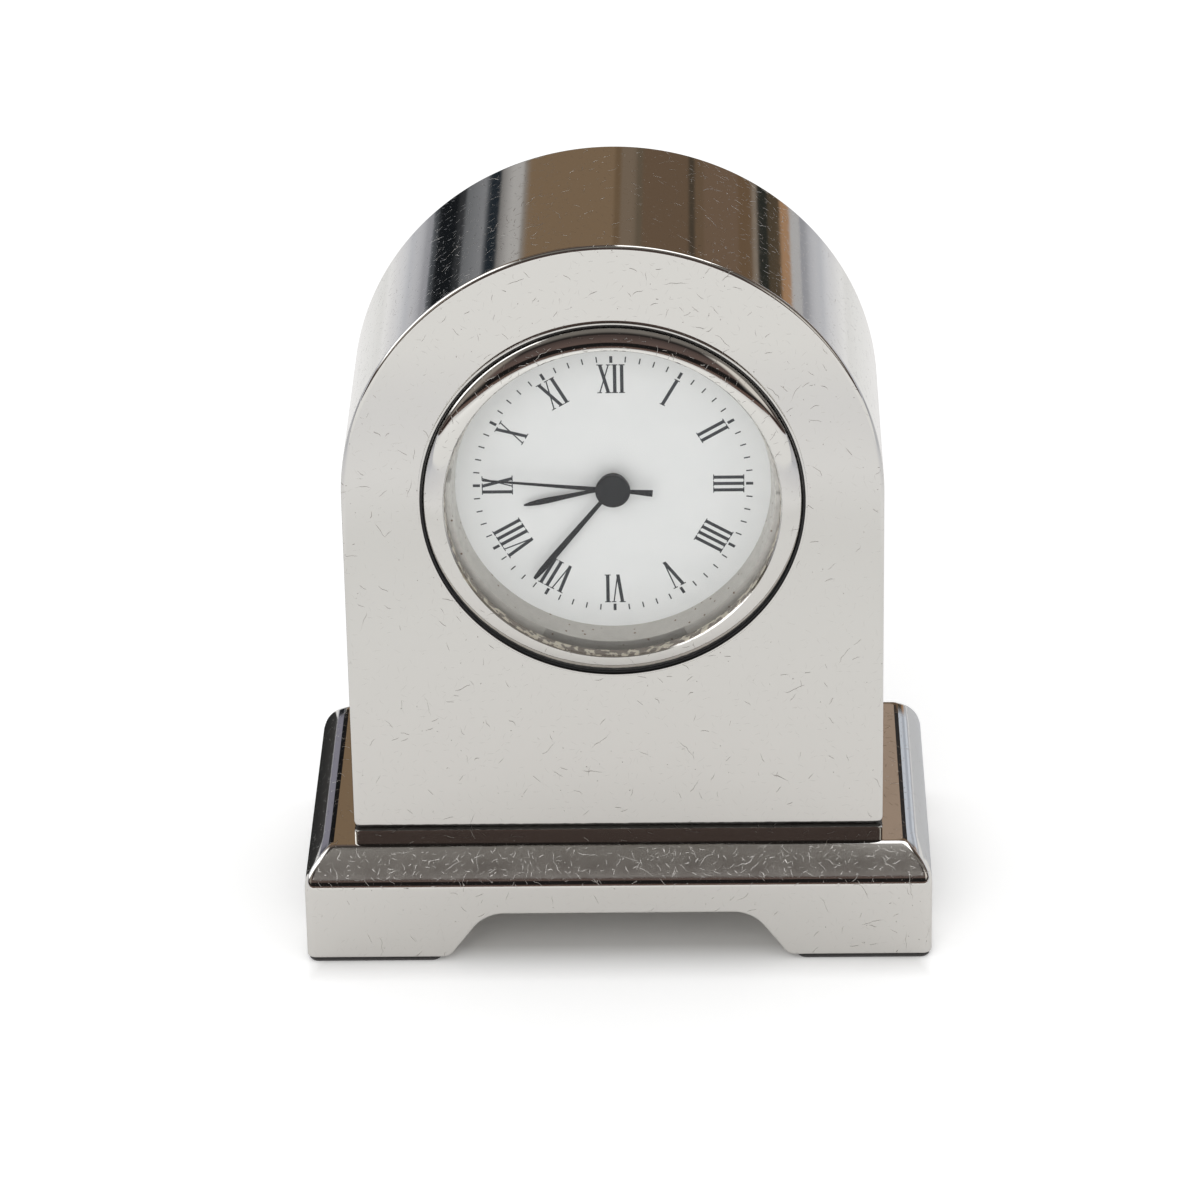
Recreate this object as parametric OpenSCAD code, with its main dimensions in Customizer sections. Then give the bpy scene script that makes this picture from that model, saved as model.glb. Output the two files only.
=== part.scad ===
// Miniature arched desk clock: a plated metal block on a bracket-foot base, with a
// push-in quartz insert. Millimetres, floor at z = 0, front towards -Y.

/* [Base] */
// Width of the base across its feet
base_w = 60; // [58:0.5:70]
// Depth of the base across its feet
base_d = 34; // [33:0.5:42]
// Height of the flat top above the floor
base_h = 11.4; // [10.8:0.1:14]
// Height above the floor at which the bevel starts
base_face_h = 7.9; // [7.4:0.1:8.6]
// How far the bevel leans in on each side
bevel_in = 2.28; // [1.2:0.05:3]
// Radius of the base's upright corners
base_corner_r = 0.9; // [0.4:0.1:2]
// Radius where the lower face rolls over into the bevel
face_roll_r = 1.3; // [0.4:0.1:2]
// Radius where the bevel rolls over into the flat top
rim_roll_r = 1; // [0.3:0.05:1.4]
// Width of a foot seen from the front
foot_w = 13.1; // [11:0.1:14]
// Depth of a foot seen from the side
foot_d = 7.6; // [6.5:0.1:8]
// Height of the arch between two feet, above the floor
arch_h = 5.13; // [4.9:0.05:5.8]
// Radius of the foot's rounded toe
toe_r = 1.5; // [0.8:0.1:2]
// Radius where the bracket's slope runs into the arch
arch_r = 3; // [1.5:0.1:3.4]
// Thickness of the felt under each foot
felt_t = 0.45; // [0.3:0.05:1]
// How far the felt stays inside the foot's edge
felt_inset = 0.45; // [0.2:0.05:1]

/* [Case] */
// Width of the case, which is also the arch's diameter
case_w = 50.8; // [48:0.2:54]
// Depth of the case from front to back
case_d = 24.84; // [22:0.1:27]
// Height of the arch's centre above the floor
arch_z = 46.3; // [44:0.1:52]
// How far the case stands behind the front of the base
case_setback = 6; // [4.8:0.1:7]
// Radius of the case's rounded edges
case_edge_r = 0.4; // [0.2:0.05:0.8]
// Radius of the case's two lower corners, seen from the front
case_foot_r = 0.5; // [0.2:0.05:1.2]
// How far the dial's centre lies below the arch's centre
insert_drop = 0.34; // [0:0.02:1]

/* [Base screws] */
// Distance between the two screws that hold the case down
screw_pitch = 15; // [10:0.5:16]
// Outer diameter of the screws' thread
screw_dia = 2.4; // [1.8:0.1:2.6]
// Diameter of the screws' heads
head_dia = 4.4; // [3.6:0.1:4.6]
// Height of the screws' heads
head_t = 1.5; // [1:0.1:1.8]
// How far the screws reach into the case
screw_grip = 7; // [4:0.5:9]

/* [Bezel and lens] */
// Outer diameter of the bezel
bezel_dia = 36.5; // [36.2:0.1:38]
// How far the bezel's lip covers the case round the bore
lip_cover = 0.75; // [0.6:0.05:1]
// Width of the bezel from its outer edge to the glass that shows
bezel_w = 2.59; // [2.4:0.01:2.8]
// How far the bezel's lip stands in front of the case
lip_h = 0.3; // [0.2:0.05:0.5]
// Width of the bezel's outer lip
lip_w = 0.22; // [0.15:0.01:0.4]
// Width of the groove inside the lip
groove_w = 0.18; // [0.12:0.01:0.3]
// Height of the groove's floor above the face of the case
groove_floor = 0.08; // [0.05:0.01:0.15]
// How far the bezel's crest stands in front of the case
crest_h = 1; // [0.8:0.02:1.3]
// How far the crest slopes back on its way in to the glass
crest_drop = 0.25; // [0.1:0.05:0.6]
// Width of that slope, between the bezel's rounded band and the glass
crest_w = 0.19; // [0.1:0.01:0.4]
// Thickness of the glass
lens_t = 1; // [0.8:0.1:1.4]
// How far the glass lies behind the face of the case
lens_set = 0.1; // [0:0.05:0.4]
// Thickness of the bezel's skirt
skirt_t = 0.95; // [0.7:0.05:1]
// Length of the bezel's skirt behind the face of the case
skirt_l = 5.4; // [4.8:0.1:6]

/* [Dial and hands] */
// Depth of the dial behind the face of the case
dial_set = 3.6; // [3.4:0.05:4.2]
// Thickness of the dial
dial_t = 0.4; // [0.3:0.05:0.6]
// How far the dial ring covers the dial, inside the glass that shows
ring_w = 0.81; // [0.6:0.01:1.2]
// Width of the dial ring's front face, inside the glass that shows
ring_land = 0.44; // [0.2:0.02:0.5]
// Length of the hour hand from the centre
hour_hand_l = 8.6; // [7:0.1:9.5]
// Width of the hour hand at its widest
hour_hand_w = 0.62; // [0.4:0.02:0.9]
// Length of the minute hand from the centre
minute_hand_l = 12; // [10:0.1:12.8]
// Width of the minute hand at its widest
minute_hand_w = 0.6; // [0.4:0.02:0.9]
// Length of the second hand from the centre
second_hand_l = 12.3; // [10:0.1:13]
// Length of the second hand's tail
second_tail_l = 3.75; // [2.5:0.05:5]
// Thickness of the hands
hand_t = 0.14; // [0.1:0.01:0.2]
// Diameter of the black cap on the second hand
cap_dia = 3.3; // [2.8:0.1:3.6]
// Hours and minutes shown, as turns of each hand from twelve o'clock
hour_shown = 8.59; // [0:0.01:12]
// Minutes that the minute hand shows
minute_shown = 36.5; // [0:0.1:60]
// Seconds that the second hand shows
second_shown = 45.9; // [0:0.1:60]

/* [Movement] */
// Gap between the insert's body and the bore
bore_gap = 0.3; // [0.2:0.05:0.5]
// Thickness of every wheel
wheel_t = 0.3; // [0.2:0.02:0.35]
// Gap between one wheel and the next along the arbors
wheel_gap = 0.2; // [0.15:0.01:0.25]
// Thickness of the plate in front of the train
plate_t = 0.5; // [0.4:0.05:0.7]
// Thickness of the bridge behind the train
bridge_t = 0.4; // [0.35:0.05:0.6]
// Thickness of the circuit board
board_t = 0.4; // [0.3:0.05:0.6]
// Thickness of the insert's back cover
cover_t = 0.8; // [0.7:0.05:1]
// Thickness of the housing's wall in front
housing_t = 1.35; // [1.1:0.05:1.5]
// Tooth size of the first mesh, rotor to intermediate wheel
rotor_mod = 0.13; // [0.12:0.002:0.135]
// Tooth size of the second mesh, intermediate wheel to seconds wheel
inter_mod = 0.14; // [0.136:0.001:0.142]
// Distance from the centre to the third wheel's arbor
third_dist = 4.08; // [4.02:0.01:4.14]
// Distance from the centre to the setting arbor
setting_dist = 4.8; // [4.6:0.02:5]
// Radius of the train's arbors
arbor_r = 0.28; // [0.24:0.01:0.3]
// Radius of the pivots at the arbors' ends
pivot_r = 0.17; // [0.12:0.01:0.2]
// Radius of the setting arbor
setting_arbor_r = 0.5; // [0.4:0.02:0.56]
// Running clearance round every arbor and pipe, on the radius
run = 0.05; // [0.03:0.005:0.07]
// Diameter of the setting knob
knob_dia = 6.8; // [6:0.1:7.2]
// Height of the setting knob
knob_t = 2.6; // [2:0.1:3.4]

/* [Electrics] */
// Diameter of the button cell
cell_dia = 6.8; // [6.2:0.1:7]
// Thickness of the button cell
cell_t = 2.6; // [2.4:0.05:2.7]
// Diameter of the battery hatch
hatch_dia = 8; // [7.6:0.1:8.4]
// Diameter of the coil
coil_dia = 2.3; // [2:0.1:2.4]
// Length of the coil
coil_l = 9; // [8:0.1:10]
// Diameter of the rotor's magnet
magnet_dia = 2.4; // [2:0.1:2.6]
// Thickness of the rotor's magnet
magnet_t = 0.8; // [0.6:0.05:0.9]

/* [Hidden] */
$fn = 48;
eps = 0.01;
over = 1;

// Places of the case and of the insert's centre
case_y = -base_d / 2 + case_setback;
case_mid_y = case_y + case_d / 2;
clock_z = arch_z - insert_drop;
bore_r = bezel_dia / 2 - lip_cover;

// Numbers of teeth
rotor_teeth = 8;
inter_teeth = 48;
inter_leaves = 10;
seconds_teeth = 50;
seconds_leaves = 8;
third_teeth = 60;
third_leaves = 8;
centre_teeth = 64;
cannon_teeth = 12;
motion_teeth = 36;
motion_leaves = 10;
hour_teeth = 40;

// Tooth sizes that follow from the distance between two arbors
third_mod = 2 * third_dist / (third_teeth + seconds_leaves);
centre_mod = 2 * third_dist / (centre_teeth + third_leaves);
motion_mod = 2 * setting_dist / (motion_teeth + cannon_teeth);
hour_mod = 2 * setting_dist / (hour_teeth + motion_leaves);
inter_dist = inter_mod * (seconds_teeth + inter_leaves) / 2;
rotor_dist = rotor_mod * (inter_teeth + rotor_teeth) / 2;

// Directions of the arbors, in degrees anticlockwise from +X as seen from the front
third_dir = 35;
inter_dir = 150;
rotor_dir = 180;
setting_dir = 270;
function polar(r, a) = [r * cos(a), r * sin(a)];
third_at = polar(third_dist, third_dir);
inter_at = polar(inter_dist, inter_dir);
rotor_at = inter_at + polar(rotor_dist, rotor_dir);
setting_at = polar(setting_dist, setting_dir);

// Radii and depths of the insert; depths run back from the face of the case
insert_r = bore_r - bore_gap;
sight_r = bezel_dia / 2 - bezel_w;
dial_sight_r = sight_r - ring_w;
seat_r = insert_r - skirt_t;
fit_gap = 0.05;
lens_back = lens_set + lens_t;
dial_back = dial_set + dial_t;
housing_in_r = seat_r - fit_gap - housing_t;
ledge_w = 0.7;
ledge_r = housing_in_r - ledge_w;
dial_hole_r = 1.2;

// Places behind the train plate, measured in from the housing's ledge
cell_at = polar(ledge_r - 4.14, -39.7);
coil_at = [-1.2, ledge_r - 3.75];
chip_at = polar(ledge_r - 5.1, 45);
can_at = [-2.5, ledge_r - 1.55];
board_edge = 1.2;
pillar_at = [for (p = [[2.83, 197.5], [3.63, 8.7], [3.08, 253.2], [1.1, 144.4]]) polar(ledge_r - p[0], p[1])];

// Levels of the movement
hour_level = dial_back + wheel_gap;
motion_level = hour_level + wheel_t + wheel_gap;
plate_level = motion_level + wheel_t + wheel_gap;
centre_level = plate_level + plate_t + wheel_gap;
third_level = centre_level + wheel_t + wheel_gap;
seconds_level = third_level + wheel_t + wheel_gap;
inter_level = seconds_level + wheel_t + wheel_gap;
magnet_level = inter_level + wheel_t + wheel_gap;
bridge_level = magnet_level + magnet_t + 0.3;
board_level = bridge_level + bridge_t;
cover_level = board_level + board_t + 0.5;
cover_back = cover_level + cover_t;
knob_level = cover_back + 0.3;
plate_back = plate_level + plate_t;
pivot_l = 0.3;
stator_level = magnet_level + 0.1;
stator_t = 0.55;
core_t = 0.45;
core_w = 0.9;
foot_x = coil_l / 2 + 1.2;
foot_half = 0.9;
core_level = stator_level - core_t;
coil_level = core_level + core_t / 2;
cell_level = cover_level - cell_t - 0.1;
contact_t = 0.15;

// Groove of the rubber band
band_lead = 0.8;
band_stop = 1.4;
band_sink = 0.6;
band_front = skirt_l + band_lead;
band_back = cover_back - band_stop;
band_in_r = insert_r - band_sink;

// Pipes on the centre arbor
sec_arbor_r = 0.28;
cannon_in_r = sec_arbor_r + run;
cannon_out_r = cannon_in_r + 0.26;
hour_in_r = cannon_out_r + run;
hour_out_r = hour_in_r + 0.26;

// Depths of the hands
hour_hand_level = dial_set - 0.6;
minute_hand_level = hour_hand_level - 0.4;
second_hand_level = minute_hand_level - 0.4;
boss_r = 1.42;
boss_h = 0.22;

// Screws and bosses
screw_r = screw_dia / 2;
head_r = head_dia / 2;
tap_gap = 0.03;
seat_z = arch_h + head_t + 0.5;
pillar_r = 0.85;
pillar_pad_r = 1.5;
bridge_screw_r = 0.4;
bridge_head_r = 0.75;
bridge_head_t = 0.35;

// Points of an arc about c, from angle a to angle b in n steps
function arc(c, r, a, b, n) =
    [for (i = [0:n]) c + r * [cos(a + (b - a) * i / n), sin(a + (b - a) * i / n)]];

// Vector of length one along v
function unit(v) = v / norm(v);

// Points that round the corner b of the path a-b-c with radius r, in n steps
function rounded(a, b, c, r, n) =
    let (u = unit(a - b), v = unit(c - b), half = acos(u * v) / 2,
         centre = b + unit(u + v) * r / sin(half),
         start = b + u * r / tan(half) - centre,
         end = b + v * r / tan(half) - centre,
         from = atan2(start[1], start[0]),
         turn = atan2(end[1], end[0]) - from,
         short = turn > 180 ? turn - 360 : turn < -180 ? turn + 360 : turn)
    arc(centre, r, from, from + short, n);

// Points mirrored across x = 0, so that an outline is drawn once and closed
function mirrored(p) = concat(p, [for (i = [len(p) - 1:-1:0]) [-p[i][0], p[i][1]]]);

// A solid standing on the insert's axis, its z = 0 at a depth behind the case's face
module at_depth(depth, at = [0, 0]) {
    translate([at[0], case_y + depth, clock_z + at[1]]) rotate([90, 0, 0]) children();
}

// A disc between two depths, with an optional hole
module disc(front, back, r, hole = 0, at = [0, 0]) {
    at_depth(back, at) difference() {
        cylinder(h = back - front, r = r);
        if (hole > 0) translate([0, 0, -over]) cylinder(h = back - front + 2 * over, r = hole);
    }
}

// A ring turned about the insert's axis from points of radius and depth
module turned(points, at = [0, 0]) {
    at_depth(0, at) rotate_extrude($fn = 96) polygon([for (p = points) [p[0], -p[1]]]);
}

// A block with rounded upright corners, standing on z = 0
module upright_block(w, d, h, r) {
    linear_extrude(h) {
        square([w - 2 * r, d], center = true);
        square([w, d - 2 * r], center = true);
        for (x = [-1, 1], y = [-1, 1])
            translate([x * (w / 2 - r), y * (d / 2 - r)]) circle(r);
    }
}

// Half outline of the base from the feet up: face, rolled edge, bevel, rolled rim, flat top
function base_outline(w) =
    let (foot = [w / 2, felt_t], edge = [w / 2, base_face_h],
         rim = [w / 2 - bevel_in, base_h], middle = [0, base_h])
    concat([foot], rounded(foot, edge, rim, face_roll_r, 4), rounded(edge, rim, middle, rim_roll_r, 3));

// Half outline of the space between two feet: toe, slope and arch
function foot_outline(half) = concat(
    [[half, -over], [half, felt_t]],
    arc([half, felt_t + toe_r], toe_r, 270, 225, 4),
    arc([half - (arch_h - felt_t) - (toe_r + arch_r) * (sqrt(2) - 1), arch_h - arch_r],
        arch_r, 45, 90, 5)
);

// Bracket-foot base with arches on all four sides and two countersunk screw holes
module base_plinth() {
    color("silver") difference() {
        intersection() {
            translate([0, base_d / 2, 0]) rotate([90, 0, 0]) linear_extrude(base_d)
                polygon(mirrored(base_outline(base_w)));
            translate([-base_w / 2, 0, 0]) rotate([90, 0, 90]) linear_extrude(base_w)
                polygon(mirrored(base_outline(base_d)));
            upright_block(base_w, base_d, base_h + over, base_corner_r);
        }
        translate([0, base_d / 2 + over, 0]) rotate([90, 0, 0])
            linear_extrude(base_d + 2 * over)
                polygon(mirrored(foot_outline(base_w / 2 - foot_w)));
        translate([-base_w / 2 - over, 0, 0]) rotate([90, 0, 90])
            linear_extrude(base_w + 2 * over)
                polygon(mirrored(foot_outline(base_d / 2 - foot_d)));
        for (x = [-1, 1]) translate([x * screw_pitch / 2, case_mid_y, 0]) {
            cylinder(h = base_h + over, r = screw_r + 0.15);
            cylinder(h = seat_z, r = head_r + 0.25);
        }
    }
}

// Felt under each of the four feet
module foot_pads() {
    pad_w = foot_w - 2 * felt_inset;
    pad_d = foot_d - 2 * felt_inset;
    color("dimgray") for (x = [-1, 1], y = [-1, 1])
        translate([x * (base_w - foot_w) / 2, y * (base_d - foot_d) / 2, 0])
            upright_block(pad_w, pad_d, felt_t, 0.8);
}

// Two slotted screws that come up through the base into the case
module base_screws() {
    color("darkgray") for (x = [-1, 1]) translate([x * screw_pitch / 2, case_mid_y, 0])
        difference() {
            union() {
                translate([0, 0, seat_z - head_t]) cylinder(h = head_t, r = head_r);
                translate([0, 0, seat_z - eps])
                    cylinder(h = base_h - seat_z + screw_grip, r = screw_r);
            }
            translate([-head_r - over, -0.3, seat_z - head_t - over])
                cube([2 * (head_r + over), 0.6, over + 0.6]);
        }
}

// Corner that is cut off the case's lower edge, seen from the front, to round it
function foot_cut(c, r) = concat(
    [c + [0, -r - over], c + [r + over, -r - over], c + [r + over, 0]], arc(c, r, 0, -90, 5)
);

// Arched block, bored through for the insert and tapped from below for the screws
module case_block() {
    r = case_w / 2;
    e = case_edge_r;
    color("gainsboro") difference() {
        union() {
            translate([0, case_mid_y, base_h]) upright_block(case_w, case_d, arch_z - base_h, e);
            translate([0, case_y + case_d, arch_z]) rotate([90, 0, 0])
                rotate_extrude($fn = 160) polygon(concat(
                    [[0, 0]], arc([r - e, e], e, 270, 360, 4),
                    arc([r - e, case_d - e], e, 0, 90, 4), [[0, case_d]]
                ));
        }
        at_depth(case_d + over) cylinder(h = case_d + 2 * over, r = bore_r, $fn = 160);
        for (side = [0, 1]) mirror([side, 0, 0]) translate([0, case_y + case_d + over, 0])
            rotate([90, 0, 0]) linear_extrude(case_d + 2 * over)
                polygon(foot_cut([r - case_foot_r, base_h + case_foot_r], case_foot_r));
        for (x = [-1, 1]) translate([x * screw_pitch / 2, case_mid_y, base_h - over])
            cylinder(h = screw_grip + 1 + over, r = screw_r + tap_gap);
    }
}

// Plated bezel: thin lip, groove, a band that is a quarter of an ellipse, and the skirt in the bore
module bezel() {
    lip_r = bezel_dia / 2;
    groove_r = lip_r - lip_w;
    band_r = groove_r - groove_w;
    crest_r = sight_r + crest_w;
    foot_dir = asin(groove_floor / crest_h);
    steps = 9;
    soft = 0.05;
    band = [for (i = [0:steps]) let (a = foot_dir + (90 - foot_dir) * i / steps)
        [crest_r + (band_r - crest_r) * cos(a), -crest_h * sin(a)]];
    color("silver") turned(concat(
        [[insert_r, 0], [lip_r, 0], [lip_r, -lip_h + soft], [lip_r - soft, -lip_h]],
        [[groove_r + soft / 2, -lip_h], [groove_r, -lip_h + soft], [groove_r, -groove_floor]],
        band,
        [[sight_r, -crest_h + crest_drop], [sight_r, lens_set]],
        [[seat_r, lens_set], [seat_r, skirt_l], [insert_r, skirt_l]]
    ));
}

// Flat glass with a small ground bevel round its front
module lens() {
    r = seat_r - fit_gap;
    grind = 0.2;
    color("white", 0.3) turned([
        [0, lens_set], [r - grind, lens_set], [r, lens_set + grind], [r, lens_back], [0, lens_back]
    ]);
}

// Ring between glass and dial: a narrow front land and a wall down to the dial
module dial_ring() {
    r = seat_r - fit_gap;
    land_t = 0.3;
    land_chamfer = 0.06;
    color("lightgray") turned([
        [sight_r - ring_land, lens_back], [r, lens_back], [r, dial_set],
        [dial_sight_r, dial_set], [sight_r - ring_land - land_chamfer, lens_back + land_t]
    ]);
}

// Plain dial plate, with a central hole for the pipes
module dial() {
    color("whitesmoke") disc(dial_set, dial_back, seat_r - fit_gap, dial_hole_r);
}

// Moulded cup that holds the movement: fits the skirt, carries the plate and the cover
module movement_housing() {
    front_r = seat_r - fit_gap;
    color("ivory") turned([
        [housing_in_r, dial_back], [front_r, dial_back], [front_r, skirt_l + fit_gap],
        [insert_r, skirt_l + fit_gap], [insert_r, band_front], [band_in_r, band_front],
        [band_in_r, band_back], [insert_r, band_back],
        [insert_r, cover_back - 0.3], [insert_r - 0.3, cover_back],
        [housing_in_r, cover_back], [housing_in_r, cover_level],
        [ledge_r, cover_level], [ledge_r, plate_back], [housing_in_r, plate_back]
    ]);
}

// Ribbed rubber band that grips the wall of the bore
module grip_band() {
    low_r = insert_r + 0.1;
    high_r = bore_r - fit_gap;
    ribs = 4;
    pitch = (band_back - band_front) / ribs;
    color("dimgray") turned(concat(
        [[band_in_r, band_back], [band_in_r, band_front]],
        [for (i = [0:ribs - 1], s = [[0, low_r], [0.35, high_r], [0.65, high_r], [1, low_r]])
            if (s[0] > 0 || i == 0) [s[1], band_front + (i + s[0]) * pitch]]
    ));
}

// Points of one gear, tooth by tooth: half widths are shares of the tooth's pitch
function gear_points(teeth, mod, add, ded, root_w, pitch_w, tip_w, phase) =
    let (r = teeth * mod / 2, step = 360 / teeth)
    [for (i = [0:teeth - 1],
          s = [[-root_w, -ded], [-pitch_w, 0], [-tip_w, add], [tip_w, add], [pitch_w, 0], [root_w, -ded]])
        polar(r + s[1] * mod, phase + (i + s[0]) * step)];

// A wheel with crossed-out spokes, or a solid one where windows is 0
module wheel(teeth, mod, hub_r = 0, windows = 0, phase = 0, at = [0, 0], level = 0) {
    root_r = (teeth / 2 - 1.1) * mod;
    rim_r = root_r - 0.5;
    at_depth(level + wheel_t, at) linear_extrude(wheel_t) difference() {
        polygon(gear_points(teeth, mod, 0.85, 1.1, 0.3, 0.22, 0.1, phase));
        if (windows > 0) for (i = [0:windows - 1]) rotate(i * 360 / windows)
            polygon(concat(
                arc([0, 0], rim_r, 14, 360 / windows - 14, 5),
                arc([0, 0], hub_r + 0.45, 360 / windows - 32, 32, 3)
            ));
    }
}

// A pinion between two depths
module pinion(teeth, mod, front, back, phase = 0, at = [0, 0]) {
    at_depth(back, at) linear_extrude(back - front)
        polygon(gear_points(teeth, mod, 0.65, 1.25, 0.2, 0.19, 0.11, phase));
}

// Turn of a driven gear's teeth that puts a space opposite the driver's tooth
function meshed(driver_phase, driver_teeth, driven_teeth, dir) =
    dir + 180 - (0.5 - (dir - driver_phase) * driver_teeth / 360) * 360 / driven_teeth;

third_phase = meshed(0, centre_teeth, third_leaves, third_dir);
seconds_phase = meshed(third_phase, third_teeth, seconds_leaves, third_dir + 180);
inter_phase = meshed(seconds_phase, seconds_teeth, inter_leaves, inter_dir);
rotor_phase = meshed(inter_phase, inter_teeth, rotor_teeth, rotor_dir);
motion_phase = meshed(0, cannon_teeth, motion_teeth, setting_dir);
hour_phase = meshed(motion_phase, motion_leaves, hour_teeth, setting_dir + 180);

// An arbor with a pivot at each end, between the plate and the bridge
module arbor(at) {
    front = plate_back + wheel_gap / 2;
    back = bridge_level - 0.1;
    disc(front, back, arbor_r, at = at);
    disc(plate_back - pivot_l, front + eps, pivot_r, at = at);
    disc(back - eps, bridge_level + pivot_l, pivot_r, at = at);
}

// Front plate of the train, with pillars, bearing holes and the battery's seat
module train_plate() {
    cell_seat_r = cell_dia / 2 + 0.5;
    color("burlywood") difference() {
        union() {
            disc(plate_level, plate_back, housing_in_r - fit_gap);
            for (p = pillar_at) disc(plate_back - eps, bridge_level, pillar_r, at = p);
            disc(plate_back - eps, cell_level + 0.8, cell_seat_r, at = cell_at);
            for (x = [-1, 1]) disc(plate_back - eps, core_level, foot_half,
                at = coil_at + [x * foot_x, 0]);
        }
        disc(plate_level - over, plate_back + over, cannon_out_r + run);
        for (p = [third_at, inter_at, rotor_at])
            disc(plate_level - over, plate_back + over, pivot_r + run, at = p);
        disc(plate_level - over, plate_back + over, setting_arbor_r + run, at = setting_at);
        disc(cell_level - contact_t, cell_level + 0.8 + over, cell_dia / 2 + 0.15, at = cell_at);
        for (p = pillar_at)
            disc(bridge_level - 1.2, bridge_level + over, bridge_screw_r + tap_gap, at = p);
    }
}

// Outline of the bridge: round the pillars and over every arbor of the train
module bridge_outline() {
    intersection() {
        circle(ledge_r - 0.5);
        union() {
            polygon([pillar_at[0] + [-0.6, -1], pillar_at[2] + [0.8, -1], setting_at + [2.2, -3.6],
                     setting_at + [2.6, 1.6], pillar_at[1] + [1, -1.2], pillar_at[1] + [1, 1.2],
                     third_at + [0, 2 * pillar_pad_r], pillar_at[3] + [1, 1.2], pillar_at[3] + [-1.2, -0.2]]);
            for (p = pillar_at) translate(p) circle(pillar_pad_r);
        }
    }
}

// Bridge behind the train, with the rear bearing holes
module train_bridge() {
    color("darkgoldenrod") difference() {
        at_depth(board_level) linear_extrude(bridge_t) bridge_outline();
        for (p = [[0, 0], third_at, inter_at, rotor_at])
            disc(bridge_level - over, board_level + over, pivot_r + run, at = p);
        disc(bridge_level - over, board_level + over, setting_arbor_r + run, at = setting_at);
        for (p = pillar_at)
            disc(bridge_level - over, board_level + over, bridge_screw_r + run, at = p);
    }
}

// Four small screws that hold the bridge to the pillars
module bridge_screws() {
    color("lightsteelblue") for (p = pillar_at) difference() {
        union() {
            disc(board_level, board_level + bridge_head_t, bridge_head_r, at = p);
            disc(bridge_level - 1, board_level + eps, bridge_screw_r, at = p);
        }
        at_depth(board_level + bridge_head_t + over, p)
            translate([-over, -0.1, 0]) cube([2 * over, 0.2, over + 0.15]);
    }
}

// Stator: a soft-iron plate with a hole round the magnet and two feet under the core
module stator() {
    hole_r = magnet_dia / 2 + 0.35;
    x = foot_x;
    color("slategray") at_depth(stator_level + stator_t) linear_extrude(stator_t) difference() {
        union() {
            translate(rotor_at) circle(hole_r + 1.2);
            polygon([rotor_at + [-2.3, 0.5], rotor_at + [-0.8, 2.1], coil_at + [-x + foot_half, -1],
                     coil_at + [-x + foot_half, foot_half], coil_at + [-x - foot_half, foot_half],
                     coil_at + [-x - foot_half, -1]]);
            polygon([rotor_at + [0.8, 2.1], rotor_at + [2.2, 0.7], coil_at + [1.1, -3.1],
                     coil_at + [x + foot_half, -2.6], coil_at + [x + foot_half, foot_half],
                     coil_at + [x - foot_half, foot_half], coil_at + [x - foot_half, -1.4],
                     coil_at + [0.1, -1.9]]);
        }
        translate(rotor_at) circle(hole_r);
    }
}

// Flat iron core that runs through the coil and lies on the stator's feet
module coil_core() {
    color("gray") at_depth(stator_level) linear_extrude(core_t) {
        translate(coil_at) square([2 * foot_x, core_w], center = true);
        for (x = [-1, 1]) translate(coil_at + [x * foot_x, 0])
            square(2 * foot_half, center = true);
    }
}

// Enamelled copper coil on its bobbin, with a flange at each end
module coil_winding() {
    flange_t = 0.3;
    core_gap = 0.02;
    color("peru") difference() {
        translate([coil_at[0] - coil_l / 2, case_y + coil_level, clock_z + coil_at[1]])
            rotate([0, 90, 0]) {
                cylinder(h = coil_l, r = coil_dia / 2 - 0.12);
                cylinder(h = flange_t, r = coil_dia / 2);
                translate([0, 0, coil_l - flange_t]) cylinder(h = flange_t, r = coil_dia / 2);
            }
        translate([coil_at[0], case_y + coil_level, clock_z + coil_at[1]])
            cube([2 * coil_l, core_t + 2 * core_gap, core_w + 2 * core_gap], center = true);
    }
}

// Circuit board on the back of the bridge
module circuit_board() {
    pivot_hole_r = 0.6;
    color("darkgreen") difference() {
        at_depth(board_level + board_t) linear_extrude(board_t) difference() {
            intersection() {
                circle(ledge_r - 0.4);
                translate([-9.4, board_edge]) square(2 * ledge_r);
            }
            for (p = pillar_at) translate(p) circle(bridge_head_r + 0.4);
        }
        for (p = [[0, 0], third_at, inter_at])
            disc(board_level - over, board_level + board_t + over, pivot_hole_r, at = p);
    }
}

// Resin drop over the chip
module chip_cover() {
    r = 1.6;
    h = 0.36;
    dome_r = (r * r + h * h) / (2 * h);
    dome = arc([0, h - dome_r], dome_r, acos(r / dome_r), 86, 4);
    color("black") at_depth(board_level + board_t, chip_at) mirror([0, 0, 1])
        rotate_extrude() polygon(concat([[0, 0]], dome, [[0, dome[4][1]]]));
}

// Crystal in its can, lying on the front of the board
module quartz_can() {
    r = 0.75;
    l = 5;
    color("silver") translate([can_at[0], case_y + board_level - r, clock_z + can_at[1]])
        rotate([0, 90, 0]) cylinder(h = l, r = r);
}

// Button cell: the cap is the smaller face, towards the dial
module battery_cell() {
    r = cell_dia / 2;
    color("lightgray") turned([
        [0, cell_level], [r - 0.5, cell_level], [r - 0.4, cell_level + 0.3],
        [r, cell_level + 0.5], [r, cell_level + cell_t - 0.1], [r - 0.1, cell_level + cell_t],
        [0, cell_level + cell_t]
    ], at = cell_at);
}

// Strip under the cell that carries the negative side to the board
module battery_spring() {
    color("gold") translate([cell_at[0], case_y + cell_level, clock_z + cell_at[1]])
        rotate([90, 0, 0]) linear_extrude(contact_t)
            intersection() {
                circle(cell_dia / 2);
                square([1.4, 2 * cell_dia], center = true);
            }
}

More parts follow.
